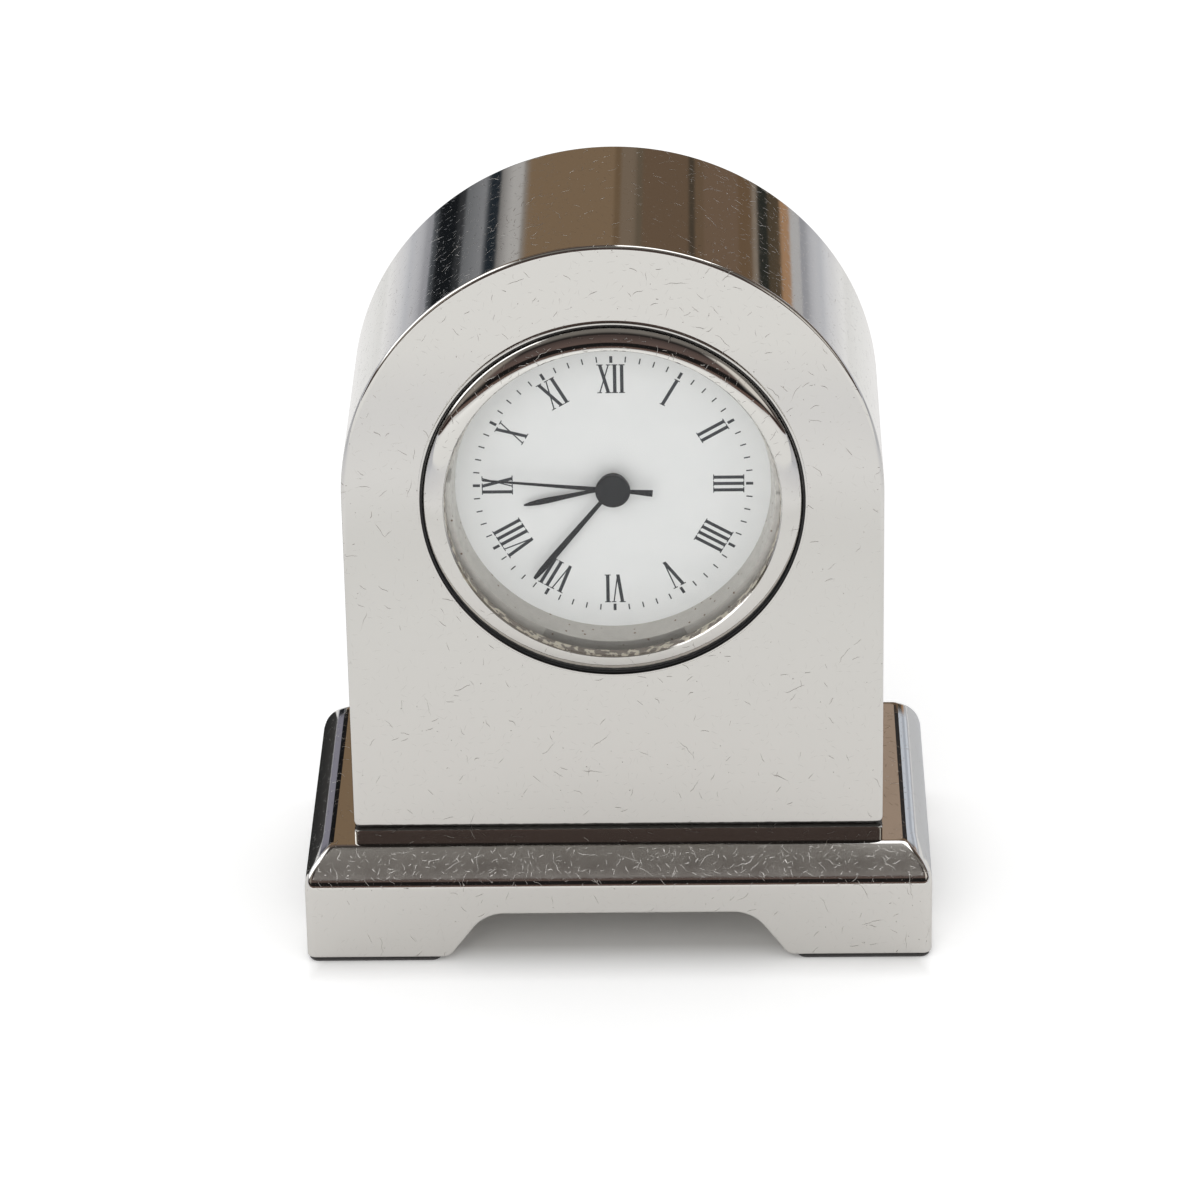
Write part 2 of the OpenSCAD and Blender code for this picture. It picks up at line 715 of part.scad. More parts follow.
// Strip from the side of the cell up to the board
module battery_strap() {
    w = 1.2;
    side = cell_at[1] + cell_dia / 2 + 0.02;
    back = board_level + board_t + contact_t;
    color("gold") at_depth(back) translate([cell_at[0] - w / 2, side, 0]) {
        cube([w, board_edge + 1 - side, contact_t]);
        cube([w, contact_t, back - cell_level - 1]);
    }
}

// Back cover, with holes for the setting arbor and the battery hatch
module back_cover() {
    color("ivory") difference() {
        union() {
            disc(cover_level, cover_back, housing_in_r - fit_gap);
            disc(cover_back - eps, cover_back + 0.15, setting_arbor_r + 1, at = setting_at);
        }
        disc(cover_level - over, cover_back + over, setting_arbor_r + run, at = setting_at);
        disc(cover_level - over, cover_back + over, hatch_dia / 2 + fit_gap, at = cell_at);
    }
}

// Round hatch over the cell, with a coin slot
module battery_hatch() {
    rim_w = 0.5;
    rise = 0.25;
    slot = [hatch_dia - 2 * rim_w - 1.4, 1, 0.5];
    color("gainsboro") difference() {
        union() {
            disc(cover_level, cover_back, hatch_dia / 2, at = cell_at);
            disc(cover_back - eps, cover_back + rise, hatch_dia / 2 - rim_w, at = cell_at);
        }
        at_depth(cover_back + rise + over, cell_at)
            translate([-slot[0] / 2, -slot[1] / 2, 0]) cube([slot[0], slot[1], over + slot[2]]);
    }
}

// Rotor: round magnet, arbor and the first pinion
module rotor() {
    color("darkslategray") {
        disc(magnet_level, magnet_level + magnet_t, magnet_dia / 2, at = rotor_at);
        arbor(rotor_at);
        pinion(rotor_teeth, rotor_mod, inter_level - 0.1, magnet_level, rotor_phase, rotor_at);
    }
}

// Intermediate wheel, driven by the rotor
module intermediate_wheel() {
    color("ivory") {
        wheel(inter_teeth, rotor_mod, 0.9, 3, inter_phase, inter_at, inter_level);
        arbor(inter_at);
        pinion(inter_leaves, inter_mod, seconds_level - 0.1, inter_level + eps, inter_phase, inter_at);
    }
}

// Seconds wheel on the centre arbor, which runs forward to the second hand
module seconds_wheel() {
    color("ivory") {
        wheel(seconds_teeth, inter_mod, 0.9, 4, seconds_phase, level = seconds_level);
        pinion(seconds_leaves, third_mod, third_level - 0.1, seconds_level + eps, seconds_phase);
        disc(second_hand_level, bridge_level - 0.1, sec_arbor_r);
        disc(bridge_level - 0.1 - eps, bridge_level + pivot_l, pivot_r);
    }
}

// Third wheel, between the seconds arbor and the centre wheel
module third_wheel() {
    color("ivory") {
        wheel(third_teeth, third_mod, 0.9, 4, third_phase, third_at, third_level);
        arbor(third_at);
        pinion(third_leaves, centre_mod, centre_level - 0.1, third_level + eps, third_phase, third_at);
    }
}

// Centre wheel, a friction fit on the cannon pinion's pipe
module centre_wheel() {
    hub_w = 0.5;
    color("goldenrod") difference() {
        wheel(centre_teeth, centre_mod, cannon_out_r + hub_w, 4, 0, level = centre_level);
        disc(centre_level - over, centre_level + wheel_t + over, cannon_out_r);
    }
}

// Cannon pinion: the pipe that turns the minute hand once an hour
module cannon_pinion() {
    color("khaki") difference() {
        union() {
            disc(minute_hand_level, centre_level + wheel_t, cannon_out_r);
            pinion(cannon_teeth, motion_mod, motion_level - 0.05, plate_level - 0.08);
        }
        disc(minute_hand_level - over, centre_level + wheel_t + over, cannon_in_r);
    }
}

// Hour wheel and its pipe, which turns the hour hand
module hour_wheel() {
    color("khaki") difference() {
        union() {
            wheel(hour_teeth, hour_mod, phase = hour_phase, level = hour_level);
            disc(hour_hand_level, hour_level + eps, hour_out_r);
        }
        disc(hour_hand_level - over, hour_level + wheel_t + over, hour_in_r);
    }
}

// Thin spring washer between the dial and the hour wheel
module hour_washer() {
    washer_t = 0.1;
    washer_w = 0.9;
    hole_r = hour_out_r + 2 * run;
    color("gold") disc(dial_back, dial_back + washer_t, hole_r + washer_w, hole_r);
}

// Motion wheel and its long arbor, which leaves the back for the setting knob
module motion_wheel() {
    color("khaki") {
        wheel(motion_teeth, motion_mod, phase = motion_phase, at = setting_at, level = motion_level);
        pinion(motion_leaves, hour_mod, hour_level, motion_level + eps, motion_phase, setting_at);
        disc(motion_level, knob_level + knob_t - 0.6, setting_arbor_r, at = setting_at);
    }
}

// Knurled knob pressed on the end of the setting arbor
module setting_knob() {
    r = knob_dia / 2;
    ribs = 24;
    color("gainsboro") difference() {
        at_depth(knob_level + knob_t, setting_at) union() {
            translate([0, 0, 0.35]) linear_extrude(knob_t - 0.35)
                polygon([for (i = [0:ribs - 1], s = [[0, 0], [0.3, 0], [0.5, -0.25], [0.8, -0.25]])
                    polar(r + s[1], (i + s[0]) * 360 / ribs)]);
            cylinder(h = 0.36, r1 = r - 0.6, r2 = r - 0.26);
        }
        disc(knob_level - over, knob_level + knob_t - 0.6, setting_arbor_r, at = setting_at);
    }
}

// A hand lying along +Z, turned clockwise to what it shows
module hand_at(level, share) {
    at_depth(level + hand_t) rotate(-360 * share) children();
}

// Hour hand: a narrow leaf on a round boss
module hour_hand() {
    w = hour_hand_w / 2;
    color("#2c2d2f") difference() {
        union() {
            hand_at(hour_hand_level, hour_shown / 12) linear_extrude(hand_t)
                polygon(mirrored([[w * 0.55, 0], [w * 0.6, hour_hand_l * 0.3],
                    [w, hour_hand_l * 0.72], [w * 0.8, hour_hand_l * 0.92], [w * 0.22, hour_hand_l]]));
            disc(hour_hand_level - boss_h, hour_hand_level + hand_t, boss_r);
        }
        disc(hour_hand_level, hour_level, hour_out_r);
        disc(hour_hand_level - over, hour_level, cannon_out_r + run);
    }
}

// Minute hand: a long leaf on a round boss
module minute_hand() {
    w = minute_hand_w / 2;
    color("#2c2d2f") difference() {
        union() {
            hand_at(minute_hand_level, minute_shown / 60) linear_extrude(hand_t)
                polygon(mirrored([[w * 0.7, 0], [w * 0.8, minute_hand_l * 0.35],
                    [w, minute_hand_l * 0.75], [w * 0.9, minute_hand_l * 0.93], [w * 0.33, minute_hand_l]]));
            disc(minute_hand_level - boss_h, minute_hand_level + hand_t, boss_r);
        }
        disc(minute_hand_level, hour_level, cannon_out_r);
        disc(minute_hand_level - over, hour_level, sec_arbor_r + run);
    }
}

// Second hand: a fine needle with a flared tail under a round cap
module second_hand() {
    r = cap_dia / 2;
    color("#2c2d2f") difference() {
        union() {
            hand_at(second_hand_level, second_shown / 60) linear_extrude(hand_t) polygon(mirrored([
                [0.33, -second_tail_l], [0.2, -r], [0.2, r], [0.09, second_hand_l]
            ]));
            turned([[0, second_hand_level - 0.3], [r - 0.25, second_hand_level - 0.3],
                    [r, second_hand_level - 0.1], [r, second_hand_level + hand_t],
                    [0, second_hand_level + hand_t]]);
        }
        disc(second_hand_level, hour_level, sec_arbor_r);
    }
}

base_plinth();
foot_pads();
base_screws();
case_block();
bezel();
lens();
dial_ring();
dial();
movement_housing();
grip_band();
hour_washer();
train_plate();
train_bridge();
bridge_screws();
stator();
coil_core();
coil_winding();
circuit_board();
chip_cover();
quartz_can();
battery_cell();
battery_spring();
battery_strap();
back_cover();
battery_hatch();
rotor();
intermediate_wheel();
seconds_wheel();
third_wheel();
centre_wheel();
cannon_pinion();
hour_wheel();
motion_wheel();
setting_knob();
hour_hand();
minute_hand();
second_hand();
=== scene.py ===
"""A miniature arched desk clock: a plated block on a bracket-foot base, with a push-in quartz insert.

Sizes are in millimetres. Each section is one piece, or one group of like pieces, in the order in
which the clock is put together.
"""
import math

import bmesh
import bpy
import numpy as np
from mathutils import Matrix, Vector
from mathutils.geometry import delaunay_2d_cdt


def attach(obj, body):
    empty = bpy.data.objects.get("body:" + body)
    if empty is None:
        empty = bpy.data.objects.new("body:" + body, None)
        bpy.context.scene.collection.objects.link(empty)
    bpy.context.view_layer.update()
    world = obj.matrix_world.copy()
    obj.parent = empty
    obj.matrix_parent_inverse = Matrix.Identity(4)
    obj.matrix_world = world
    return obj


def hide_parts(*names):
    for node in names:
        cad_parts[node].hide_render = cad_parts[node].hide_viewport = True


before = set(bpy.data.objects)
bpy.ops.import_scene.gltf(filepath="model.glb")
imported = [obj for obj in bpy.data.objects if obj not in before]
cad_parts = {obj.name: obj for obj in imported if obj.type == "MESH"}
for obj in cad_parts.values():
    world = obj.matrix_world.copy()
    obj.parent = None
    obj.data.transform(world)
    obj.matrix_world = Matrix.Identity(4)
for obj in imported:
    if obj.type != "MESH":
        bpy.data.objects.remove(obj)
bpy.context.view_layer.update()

# Base: a cast block, plated and polished by hand. Its face rolls over into a bevel, which polishing
# has left swollen, and a flat ledge. Arches from front to back and from side to side leave four
# bracket feet.
MM = 0.001
base_w = 60.0
base_d = 34.0
base_h = 11.4
rim_in = 2.82
rim_roll = 1.0
face_roll = 0.6
bevel_start = 33
bevel_end = 76
corner_r = 0.9
mitre_r = 0.55
foot_w = 13.1
foot_d = 7.6
arch_h = 5.13
slope_tilt = 53
toe_r = 1.2
arch_r = 3.7
felt_t = 0.45
foot_edge = 0.22
ledge_in = 9.0
crease_at = 35


def arc(centre, radius, start, end, steps):
    """Points at even angles, in degrees, on the circle of that radius round the centre."""
    angle = np.radians(np.linspace(start, end, steps + 1))
    return np.array(centre) + radius * np.column_stack([np.cos(angle), np.sin(angle)])


def rounded(before, corner, after, radius, steps):
    """The arc that touches both lines of a path's corner: its centre lies on the line that halves
    the corner."""
    one = np.subtract(before, corner) / np.linalg.norm(np.subtract(before, corner))
    two = np.subtract(after, corner) / np.linalg.norm(np.subtract(after, corner))
    half = np.arccos(one @ two) / 2
    middle = (one + two) / np.linalg.norm(one + two)
    centre = corner + middle * radius / np.sin(half)
    start, end = (corner + way * radius / np.tan(half) - centre for way in (one, two))
    first = np.degrees(np.arctan2(start[1], start[0]))
    turn = (np.degrees(np.arctan2(end[1], end[0])) - first + 180) % 360 - 180
    return arc(centre, radius, first, first + turn, steps)


def grid_faces(rows, columns, rows_close=False, columns_close=False):
    """Corner numbers of the four-sided faces of a grid whose points are numbered row by row."""
    row = np.arange(rows if rows_close else rows - 1)[:, None]
    column = np.arange(columns if columns_close else columns - 1)[None, :]
    below, beside = (row + 1) % rows, (column + 1) % columns
    corners = [row * columns + column, row * columns + beside, below * columns + beside,
               below * columns + column]
    return np.stack(corners, -1).reshape(-1, 4)


def add(tree, kind, inputs=(), **settings):
    """Adds one node: settings are its own options, and inputs are numbers, colours or sockets to
    link."""
    made = tree.nodes.new(kind)
    for name, value in settings.items():
        setattr(made, name, value)
    for name, value in dict(inputs).items():
        if isinstance(value, bpy.types.NodeSocket):
            tree.links.new(value, made.inputs[name])
        else:
            made.inputs[name].default_value = value
    return made


def linear(code):
    """An sRGB hex colour as the linear red, green, blue and alpha that a shader takes."""
    share = np.array([int(code[i:i + 2], 16) for i in (1, 3, 5)]) / 255
    return (*np.where(share <= 0.04045, share / 12.92, ((share + 0.055) / 1.055) ** 2.4), 1.0)


def finish(name):
    """A new material with an empty node tree, its output node and its Object coordinates in
    millimetres."""
    material = bpy.data.materials.new(name)
    material.use_nodes = True
    tree = material.node_tree
    tree.nodes.clear()
    place = add(tree, "ShaderNodeTexCoord").outputs["Object"]
    scaled = add(tree, "ShaderNodeVectorMath", {0: place, "Scale": 1 / MM}, operation="SCALE")
    return material, tree, add(tree, "ShaderNodeOutputMaterial"), scaled.outputs["Vector"]


def piece(name, shells, material, body, replaced=(), crease=crease_at):
    """One mesh in place on its body, from shells of points in mm with their faces: doubles merged,
    faces outwards."""
    mesh = bpy.data.meshes.new(name)
    points, faces, count = [], [], 0
    for shell_points, shell_faces in shells:
        points.append(np.asarray(shell_points, float).reshape(-1, 3))
        faces += [[count + corner for corner in face]
                  for face in np.asarray(shell_faces, object).tolist()]
        count += len(points[-1])
    mesh.from_pydata(np.concatenate(points) * MM, [], faces)
    work = bmesh.new()
    work.from_mesh(mesh)
    bmesh.ops.remove_doubles(work, verts=work.verts, dist=1e-3 * MM)
    bmesh.ops.dissolve_degenerate(work, edges=work.edges, dist=1e-4 * MM)
    bmesh.ops.recalc_face_normals(work, faces=work.faces)
    work.to_mesh(mesh)
    work.free()
    mesh.shade_smooth()
    mesh.set_sharp_from_angle(angle=math.radians(crease))
    mesh.materials.append(material)
    made = bpy.data.objects.new(name, mesh)
    bpy.context.scene.collection.objects.link(made)
    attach(made, body)
    if replaced:
        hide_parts(*replaced)
    return made


def scratches(tree, place, spacing, length, width, share, drift):
    """How much of a short scratch lies at a point, from 0 to 1. Each cell of a Voronoi pattern of
    that spacing holds one line, along the surface and turned at random, and only a share of the
    cells has one. The pattern is moved to and fro by a noise first, so that the lines curl."""
    moved = add(tree, "ShaderNodeVectorMath", {0: place, 1: (drift, drift / 2, -drift)}, operation="ADD")
    curl = add(tree, "ShaderNodeTexNoise",
               {"Vector": moved.outputs[0], "Scale": 0.8, "Detail": 1.0}).outputs["Color"]
    moved = add(tree, "ShaderNodeVectorMath", {0: curl, 1: (0.9, 0.9, 0.9), 2: moved.outputs[0]},
                operation="MULTIPLY_ADD")
    cells = add(tree, "ShaderNodeTexVoronoi", {"Vector": moved.outputs[0], "Scale": 1 / spacing})
    seed = add(tree, "ShaderNodeVectorMath", {0: cells.outputs["Color"], 1: (0.5, 0.5, 0.5)},
               operation="SUBTRACT")
    facing = add(tree, "ShaderNodeNewGeometry").outputs["Normal"]
    across = add(tree, "ShaderNodeVectorMath", {0: facing, 1: seed.outputs[0]}, operation="CROSS_PRODUCT")
    across = add(tree, "ShaderNodeVectorMath", {0: across.outputs[0]}, operation="NORMALIZE")
    along = add(tree, "ShaderNodeVectorMath", {0: facing, 1: across.outputs[0]},
                operation="CROSS_PRODUCT")
    offset = add(tree, "ShaderNodeVectorMath", {0: moved.outputs[0], 1: cells.outputs["Position"]},
                 operation="SUBTRACT")
    mask = None
    for way, reach in ((across, width / 2), (along, length / 2)):
        far = add(tree, "ShaderNodeVectorMath", {0: offset.outputs[0], 1: way.outputs[0]},
                  operation="DOT_PRODUCT")
        far = add(tree, "ShaderNodeMath", {0: far.outputs["Value"]}, operation="ABSOLUTE")
        near = add(tree, "ShaderNodeMapRange",
                   {"Value": far.outputs[0], "From Min": reach, "From Max": reach * 0.4})
        mask = near.outputs[0] if mask is None else add(
            tree, "ShaderNodeMath", {0: mask, 1: near.outputs[0]}, operation="MULTIPLY").outputs[0]
    chosen = add(tree, "ShaderNodeSeparateColor", {0: cells.outputs["Color"]})
    chosen = add(tree, "ShaderNodeMath", {0: chosen.outputs[2], 1: share}, operation="LESS_THAN")
    return add(tree, "ShaderNodeMath", {0: mask, 1: chosen.outputs[0]}, operation="MULTIPLY").outputs[0]


def silver_plate(name, waviness, handled, painted_shade_and_chips=None, wiped=None, scarred=None):
    """Silver plate over a hand-polished casting: a mirror that waves by so many millimetres. Scratches
    gather in places where it was handled, and a fine layer of them lies all over. Up to three
    functions say where painted shade and painted dark reflection lie, with chipped plating among
    them, where wiping has left it satin, and where it is scarred. The real scratches are about
    0.02 mm wide, and are drawn wider so that they show."""
    material, tree, output, place = finish(name)
    wave = add(tree, "ShaderNodeTexNoise", {"Vector": place, "Scale": 0.16, "Detail": 1.0})
    haze = add(tree, "ShaderNodeTexNoise",
               {"Vector": place, "Scale": 0.55, "Detail": 5.0, "Roughness": 0.65})
    gather = add(tree, "ShaderNodeTexNoise", {"Vector": place, "Scale": 0.11, "Detail": 1.0}).outputs[0]
    gather = add(tree, "ShaderNodeMapRange", {
        "Value": gather, "From Min": 0.42, "From Max": 0.66,
        "To Min": 0.12 * handled, "To Max": 0.75 * handled}).outputs[0]
    satin = wiped(tree) if wiped else 0.0
    gather = add(tree, "ShaderNodeMath", {0: gather, 1: satin}, operation="MAXIMUM").outputs[0]
    if scarred:
        gather = add(tree, "ShaderNodeMath", {0: gather, 1: scarred(tree)},
                     operation="MAXIMUM").outputs[0]
    marks = 0.0  # long scratches, short ones, dots, and faint hairs all over
    for spacing, length, width, drift, weight, share in (
            (4.6, 2.4, 0.045, 11.0, 1.0, gather), (2.0, 1.0, 0.05, 3.0, 1.0, gather),
            (2.3, 0.12, 0.1, 29.0, 1.0, gather), (0.9, 0.7, 0.05, 17.0, 0.3, 0.6)):
        lines = scratches(tree, place, spacing, length, width, share, drift)
        faint = add(tree, "ShaderNodeMath", {0: lines, 1: weight}, operation="MULTIPLY").outputs[0]
        marks = add(tree, "ShaderNodeMath", {0: marks, 1: faint}, operation="MAXIMUM").outputs[0]
    if wiped:
        curls = scratches(tree, place, 0.8, 0.6, 0.055, 0.6, 41.0)
        curls = add(tree, "ShaderNodeMath", {0: curls, 1: satin}, operation="MULTIPLY").outputs[0]
        marks = add(tree, "ShaderNodeMath", {0: marks, 1: curls}, operation="MAXIMUM").outputs[0]
    dull = add(tree, "ShaderNodeMapRange", {
        "Value": haze.outputs[0], "From Min": 0.35, "From Max": 0.75,
        "To Min": 0.035, "To Max": 0.085}).outputs[0]
    brushed = add(tree, "ShaderNodeMapRange", {
        "Value": haze.outputs[0], "From Min": 0.35, "From Max": 0.7,
        "To Min": 0.46, "To Max": 0.6}).outputs[0]
    dull = add(tree, "ShaderNodeMix", {"Factor": satin, "A": dull, "B": brushed}).outputs[0]
    scored = add(tree, "ShaderNodeMath", {0: satin, 1: 0.4, 2: 0.42}, operation="MULTIPLY_ADD").outputs[0]
    rough = add(tree, "ShaderNodeMix", {"Factor": marks, "A": dull, "B": scored}).outputs[0]
    worn = add(tree, "ShaderNodeMix", {"Factor": satin, "A": linear("#b0aca6"), "B": linear("#f4f2ee")},
               data_type="RGBA").outputs["Result"]
    clean = add(tree, "ShaderNodeMix", {"Factor": satin, "A": linear("#dad8d4"), "B": linear("#cac7c2")},
                data_type="RGBA").outputs["Result"]
    colour = add(tree, "ShaderNodeMix", {"Factor": marks, "A": clean, "B": worn},
                 data_type="RGBA").outputs["Result"]
    dents = add(tree, "ShaderNodeMath", {0: marks, 1: -0.012}, operation="MULTIPLY")
    height = add(tree, "ShaderNodeMath", {0: wave.outputs[0], 1: waviness, 2: dents.outputs[0]},
                 operation="MULTIPLY_ADD")
    bump = add(tree, "ShaderNodeBump", {"Height": height.outputs[0], "Strength": 1.0, "Distance": MM})
    hairs = add(tree, "ShaderNodeMath", {0: marks, 1: -0.55}, operation="MULTIPLY").outputs[0]
    mirror = add(tree, "ShaderNodeMath", {0: hairs, 1: satin, 2: 1.0},
                 operation="MULTIPLY_ADD").outputs[0]
    shader = add(tree, "ShaderNodeBsdfPrincipled", {"Metallic": mirror, "Normal": bump.outputs[0]})
    # Painted shade and painted dark reflection, and real chipped plating where there is any, cover the
    # plate here.
    if painted_shade_and_chips:
        cover, shade = painted_shade_and_chips(tree, place)
        colour = add(tree, "ShaderNodeMix", {"Factor": cover, "A": colour, "B": shade},
                     data_type="RGBA").outputs["Result"]
        bare = add(tree, "ShaderNodeMapRange",
                   {"Value": cover, "From Min": 1.0, "From Max": 0.6}).outputs[0]
        tree.links.new(bare, shader.inputs["Metallic"])
        rough = add(tree, "ShaderNodeMix", {"Factor": cover, "A": rough, "B": 0.4}).outputs[0]
    tree.links.new(colour, shader.inputs["Base Color"])
    tree.links.new(rough, shader.inputs["Roughness"])
    tree.links.new(shader.outputs[0], output.inputs[0])
    return material


def bracket_line(half):
    """The underside from the foot's inner edge to the middle: the rounded toe, the slope, which
    touches both arcs, and the arch. Gives distances from the middle, heights, and the two parts of
    the direction out of the metal."""
    toe = arc([half, felt_t + toe_r], toe_r, 270, 270 - slope_tilt, 6)
    slope = math.radians(slope_tilt)
    slope_end = half - (arch_h - felt_t) / math.tan(slope) - (toe_r + arch_r) * math.tan(slope / 2)
    bend = arc([slope_end, arch_h - arch_r], arch_r, 90 - slope_tilt, 90, 10)
    out_of_toe = (toe - [half, felt_t + toe_r]) / toe_r
    out_of_bend = ([slope_end, arch_h - arch_r] - bend) / arch_r
    flat = np.array([[half + 0.05, felt_t], [half + 3, felt_t]])[::-1]
    line = np.concatenate([flat, toe, bend])
    return line[:, 0], line[:, 1], np.concatenate([[[0, -1]] * 2, out_of_toe, out_of_bend])


def edge_samples(size, foot):
    """Places along one side of the base, from end to end of its straight part, with underside
    height and direction."""
    far, height, way = bracket_line(size / 2 - foot)
    far = np.concatenate([[size / 2 - corner_r], far])
    height = np.concatenate([[felt_t], height])
    way = np.concatenate([[[0, -1]], way])
    along = np.concatenate([-far, far[::-1]])
    return along, np.concatenate([height, height[::-1]]), np.concatenate([way * [-1, 1], way[::-1]])


def base_profile():
    """Insets and heights from the ledge outwards and down: the rim's roll, the swollen bevel and
    the face's roll are three arcs that pass smoothly into each other, and the bevel's radius takes
    up the rest of the way out."""
    tilts = np.radians([0, bevel_start, bevel_end, 90])
    rise = np.diff(np.sin(tilts))
    bevel_r = (rim_in - rim_roll * rise[0] - face_roll * rise[2]) / rise[1]
    line = [np.array([[ledge_in, base_h], [rim_in + 0.3, base_h], [rim_in, base_h]])]
    at = line[0][-1]
    for i, (radius, steps) in enumerate(((rim_roll, 7), (bevel_r, 18), (face_roll, 4))):
        tilt = np.linspace(tilts[i], tilts[i + 1], steps + 1)
        swing = radius * np.column_stack([-np.sin(tilt), np.cos(tilt)])
        line.append((at + swing - swing[0])[1:])
        at = line[-1][-1]
    return np.concatenate(line)


def base_shells():
    """The base as a band and an underside. The band carries the profile of ledge, rim, bevel, roll
    and face round a rectangle with rounded corners, down to the bracket line. The underside's
    height is the larger of the two arches'."""
    wide, wide_z, wide_way = edge_samples(base_w, foot_w)
    deep, deep_z, deep_way = edge_samples(base_d, foot_d)
    turns = np.radians(np.linspace(-90, 0, 9))[1:-1]
    share, normal, low, way = [], [], [], []
    for side in range(4):
        along, z, out = (wide, wide_z, wide_way) if side % 2 == 0 else (deep, deep_z, deep_way)
        spin = np.linalg.matrix_power(np.array([[0, -1], [1, 0]]), side)
        straight = np.column_stack([along / along[-1], -np.ones(len(along))])
        share.append(np.vstack([straight, np.tile([1, -1], (len(turns), 1))]) @ spin.T)
        facing = np.vstack([np.tile([0, -1], (len(along), 1)),
                            np.column_stack([np.cos(turns), np.sin(turns)])])
        normal.append(facing @ spin.T)
        low.append(np.concatenate([z, np.full(len(turns), felt_t)]))
        shift = np.column_stack([out[:, 0], np.zeros(len(along))]) @ spin.T
        down = np.column_stack([shift, out[:, 1]])
        way.append(np.vstack([down, np.tile([0, 0, -1], (len(turns), 1))]))
    share, normal, low, way = (np.concatenate(part) for part in (share, normal, low, way))

    def ring(inset, height, shift=0.0):
        """The rectangle at one inset from the base's sides, moved along the bracket line's own
        direction."""
        r = max(corner_r - inset, mitre_r)
        core = np.array([base_w / 2 - inset - r, base_d / 2 - inset - r])
        flat = share * core + normal * r
        return np.column_stack([flat, np.broadcast_to(height, len(flat))]) - way * shift

    profile = base_profile()
    rings = [ring(inset, height) for inset, height in profile]
    top, bottom = ring(0, profile[-1][1]), ring(0, low, foot_edge)
    rings += [top + (bottom - top) * part for part in (0.02, 0.5, 0.97)]
    for bend in np.radians(np.linspace(0, 90, 5)):
        rings.append(ring(foot_edge * (1 - math.cos(bend)), low, foot_edge * (1 - math.sin(bend))))
    band = np.array(rings)
    count = len(share)
    faces = grid_faces(len(band), count, columns_close=True).tolist() + [list(range(count))]

    reach = [np.concatenate([[-size / 2 + foot_edge], part, [size / 2 - foot_edge]])
             for size, part in ((base_w, wide), (base_d, deep))]
    rise = [np.concatenate([[felt_t], part, [felt_t]]) for part in (wide_z, deep_z)]
    x, y = np.meshgrid(*reach, indexing="ij")
    under = np.stack([x, y, np.maximum(rise[0][:, None], rise[1][None, :])], -1)
    cells = grid_faces(*x.shape)
    middle = under.reshape(-1, 3)[cells].mean(1)
    at_corner = (abs(middle[:, 0]) > base_w / 2 - corner_r) & (abs(middle[:, 1]) > base_d / 2 - corner_r)
    corners = []
    for side in range(4):
        spin = np.linalg.matrix_power(np.array([[0, -1], [1, 0]]), side)
        hub = np.array([[base_w, -base_d], [base_d, -base_w]][side % 2]) / 2 - [corner_r, -corner_r]
        fan = np.concatenate([[hub], arc(hub, corner_r - foot_edge, -90, 0, 8)]) @ spin.T
        fan = np.column_stack([fan, np.full(len(fan), felt_t)])
        corners.append((fan, [[0, i, i + 1] for i in range(1, len(fan) - 1)]))
    return [(band, faces), (under, cells[~at_corner].tolist())] + corners


def front_bevel(tree):
    """1 on the bevel in front, which has been wiped the most and so is satin, and 0 elsewhere and
    on its hips."""
    facing = add(tree, "ShaderNodeSeparateXYZ",
                 {0: add(tree, "ShaderNodeNewGeometry").outputs["Normal"]}).outputs
    forward = add(tree, "ShaderNodeMapRange",
                  {"Value": facing["Y"], "From Min": -0.48, "From Max": -0.56}).outputs[0]
    upward = add(tree, "ShaderNodeMapRange",
                 {"Value": facing["Z"], "From Min": 0.36, "From Max": 0.42}).outputs[0]
    aside = add(tree, "ShaderNodeMath", {0: facing["X"]}, operation="ABSOLUTE").outputs[0]
    straight = add(tree, "ShaderNodeMapRange",
                   {"Value": aside, "From Min": 0.16, "From Max": 0.08}).outputs[0]
    both = add(tree, "ShaderNodeMath", {0: forward, 1: upward}, operation="MULTIPLY").outputs[0]
    return add(tree, "ShaderNodeMath", {0: both, 1: straight}, operation="MULTIPLY").outputs[0]


base_silver = silver_plate("polished_silver_plate_base", 0.006, 1.0, wiped=front_bevel)
base = piece("base", base_shells(), base_silver, "clock_body", ["base_plinth"])
base.visible_glossy = False  # the case's low edge shows the room, as in the photograph

# The two screw holes are drilled and counterbored through the cast base from below.
screw_x, screw_y, screw_hole, head_hole, head_depth = 7.5, 1.42, 1.35, 2.45, 7.13
drill = bmesh.new()
for x in (-screw_x, screw_x):
    for radius, low, high in ((screw_hole, 1.0, base_h + 2), (head_hole, 0.0, head_depth)):
        middle = Matrix.Translation(Vector((x, screw_y, (low + high) / 2)) * MM)
        bmesh.ops.create_cone(drill, cap_ends=True, segments=48, radius1=radius * MM, radius2=radius * MM,
                              depth=(high - low) * MM, matrix=middle)
holes = bpy.data.objects.new("drill", bpy.data.meshes.new("drill"))
drill.to_mesh(holes.data)
drill.free()
bpy.context.scene.collection.objects.link(holes)
cut = base.modifiers.new("screw_holes", "BOOLEAN")
cut.object, cut.operation, cut.solver, cut.use_self = holes, "DIFFERENCE", "EXACT", True
bpy.context.view_layer.objects.active = base
bpy.ops.object.modifier_apply(modifier="screw_holes")
bpy.data.objects.remove(holes)
base.data.shade_smooth()
base.data.set_sharp_from_angle(angle=math.radians(crease_at))

# Felt pads: thin black felt, die-cut with round corners and glued under the four feet, a little
# inside their edges, so that only a dark line shows.
felt_inset = 0.2
felt_corner = 0.8


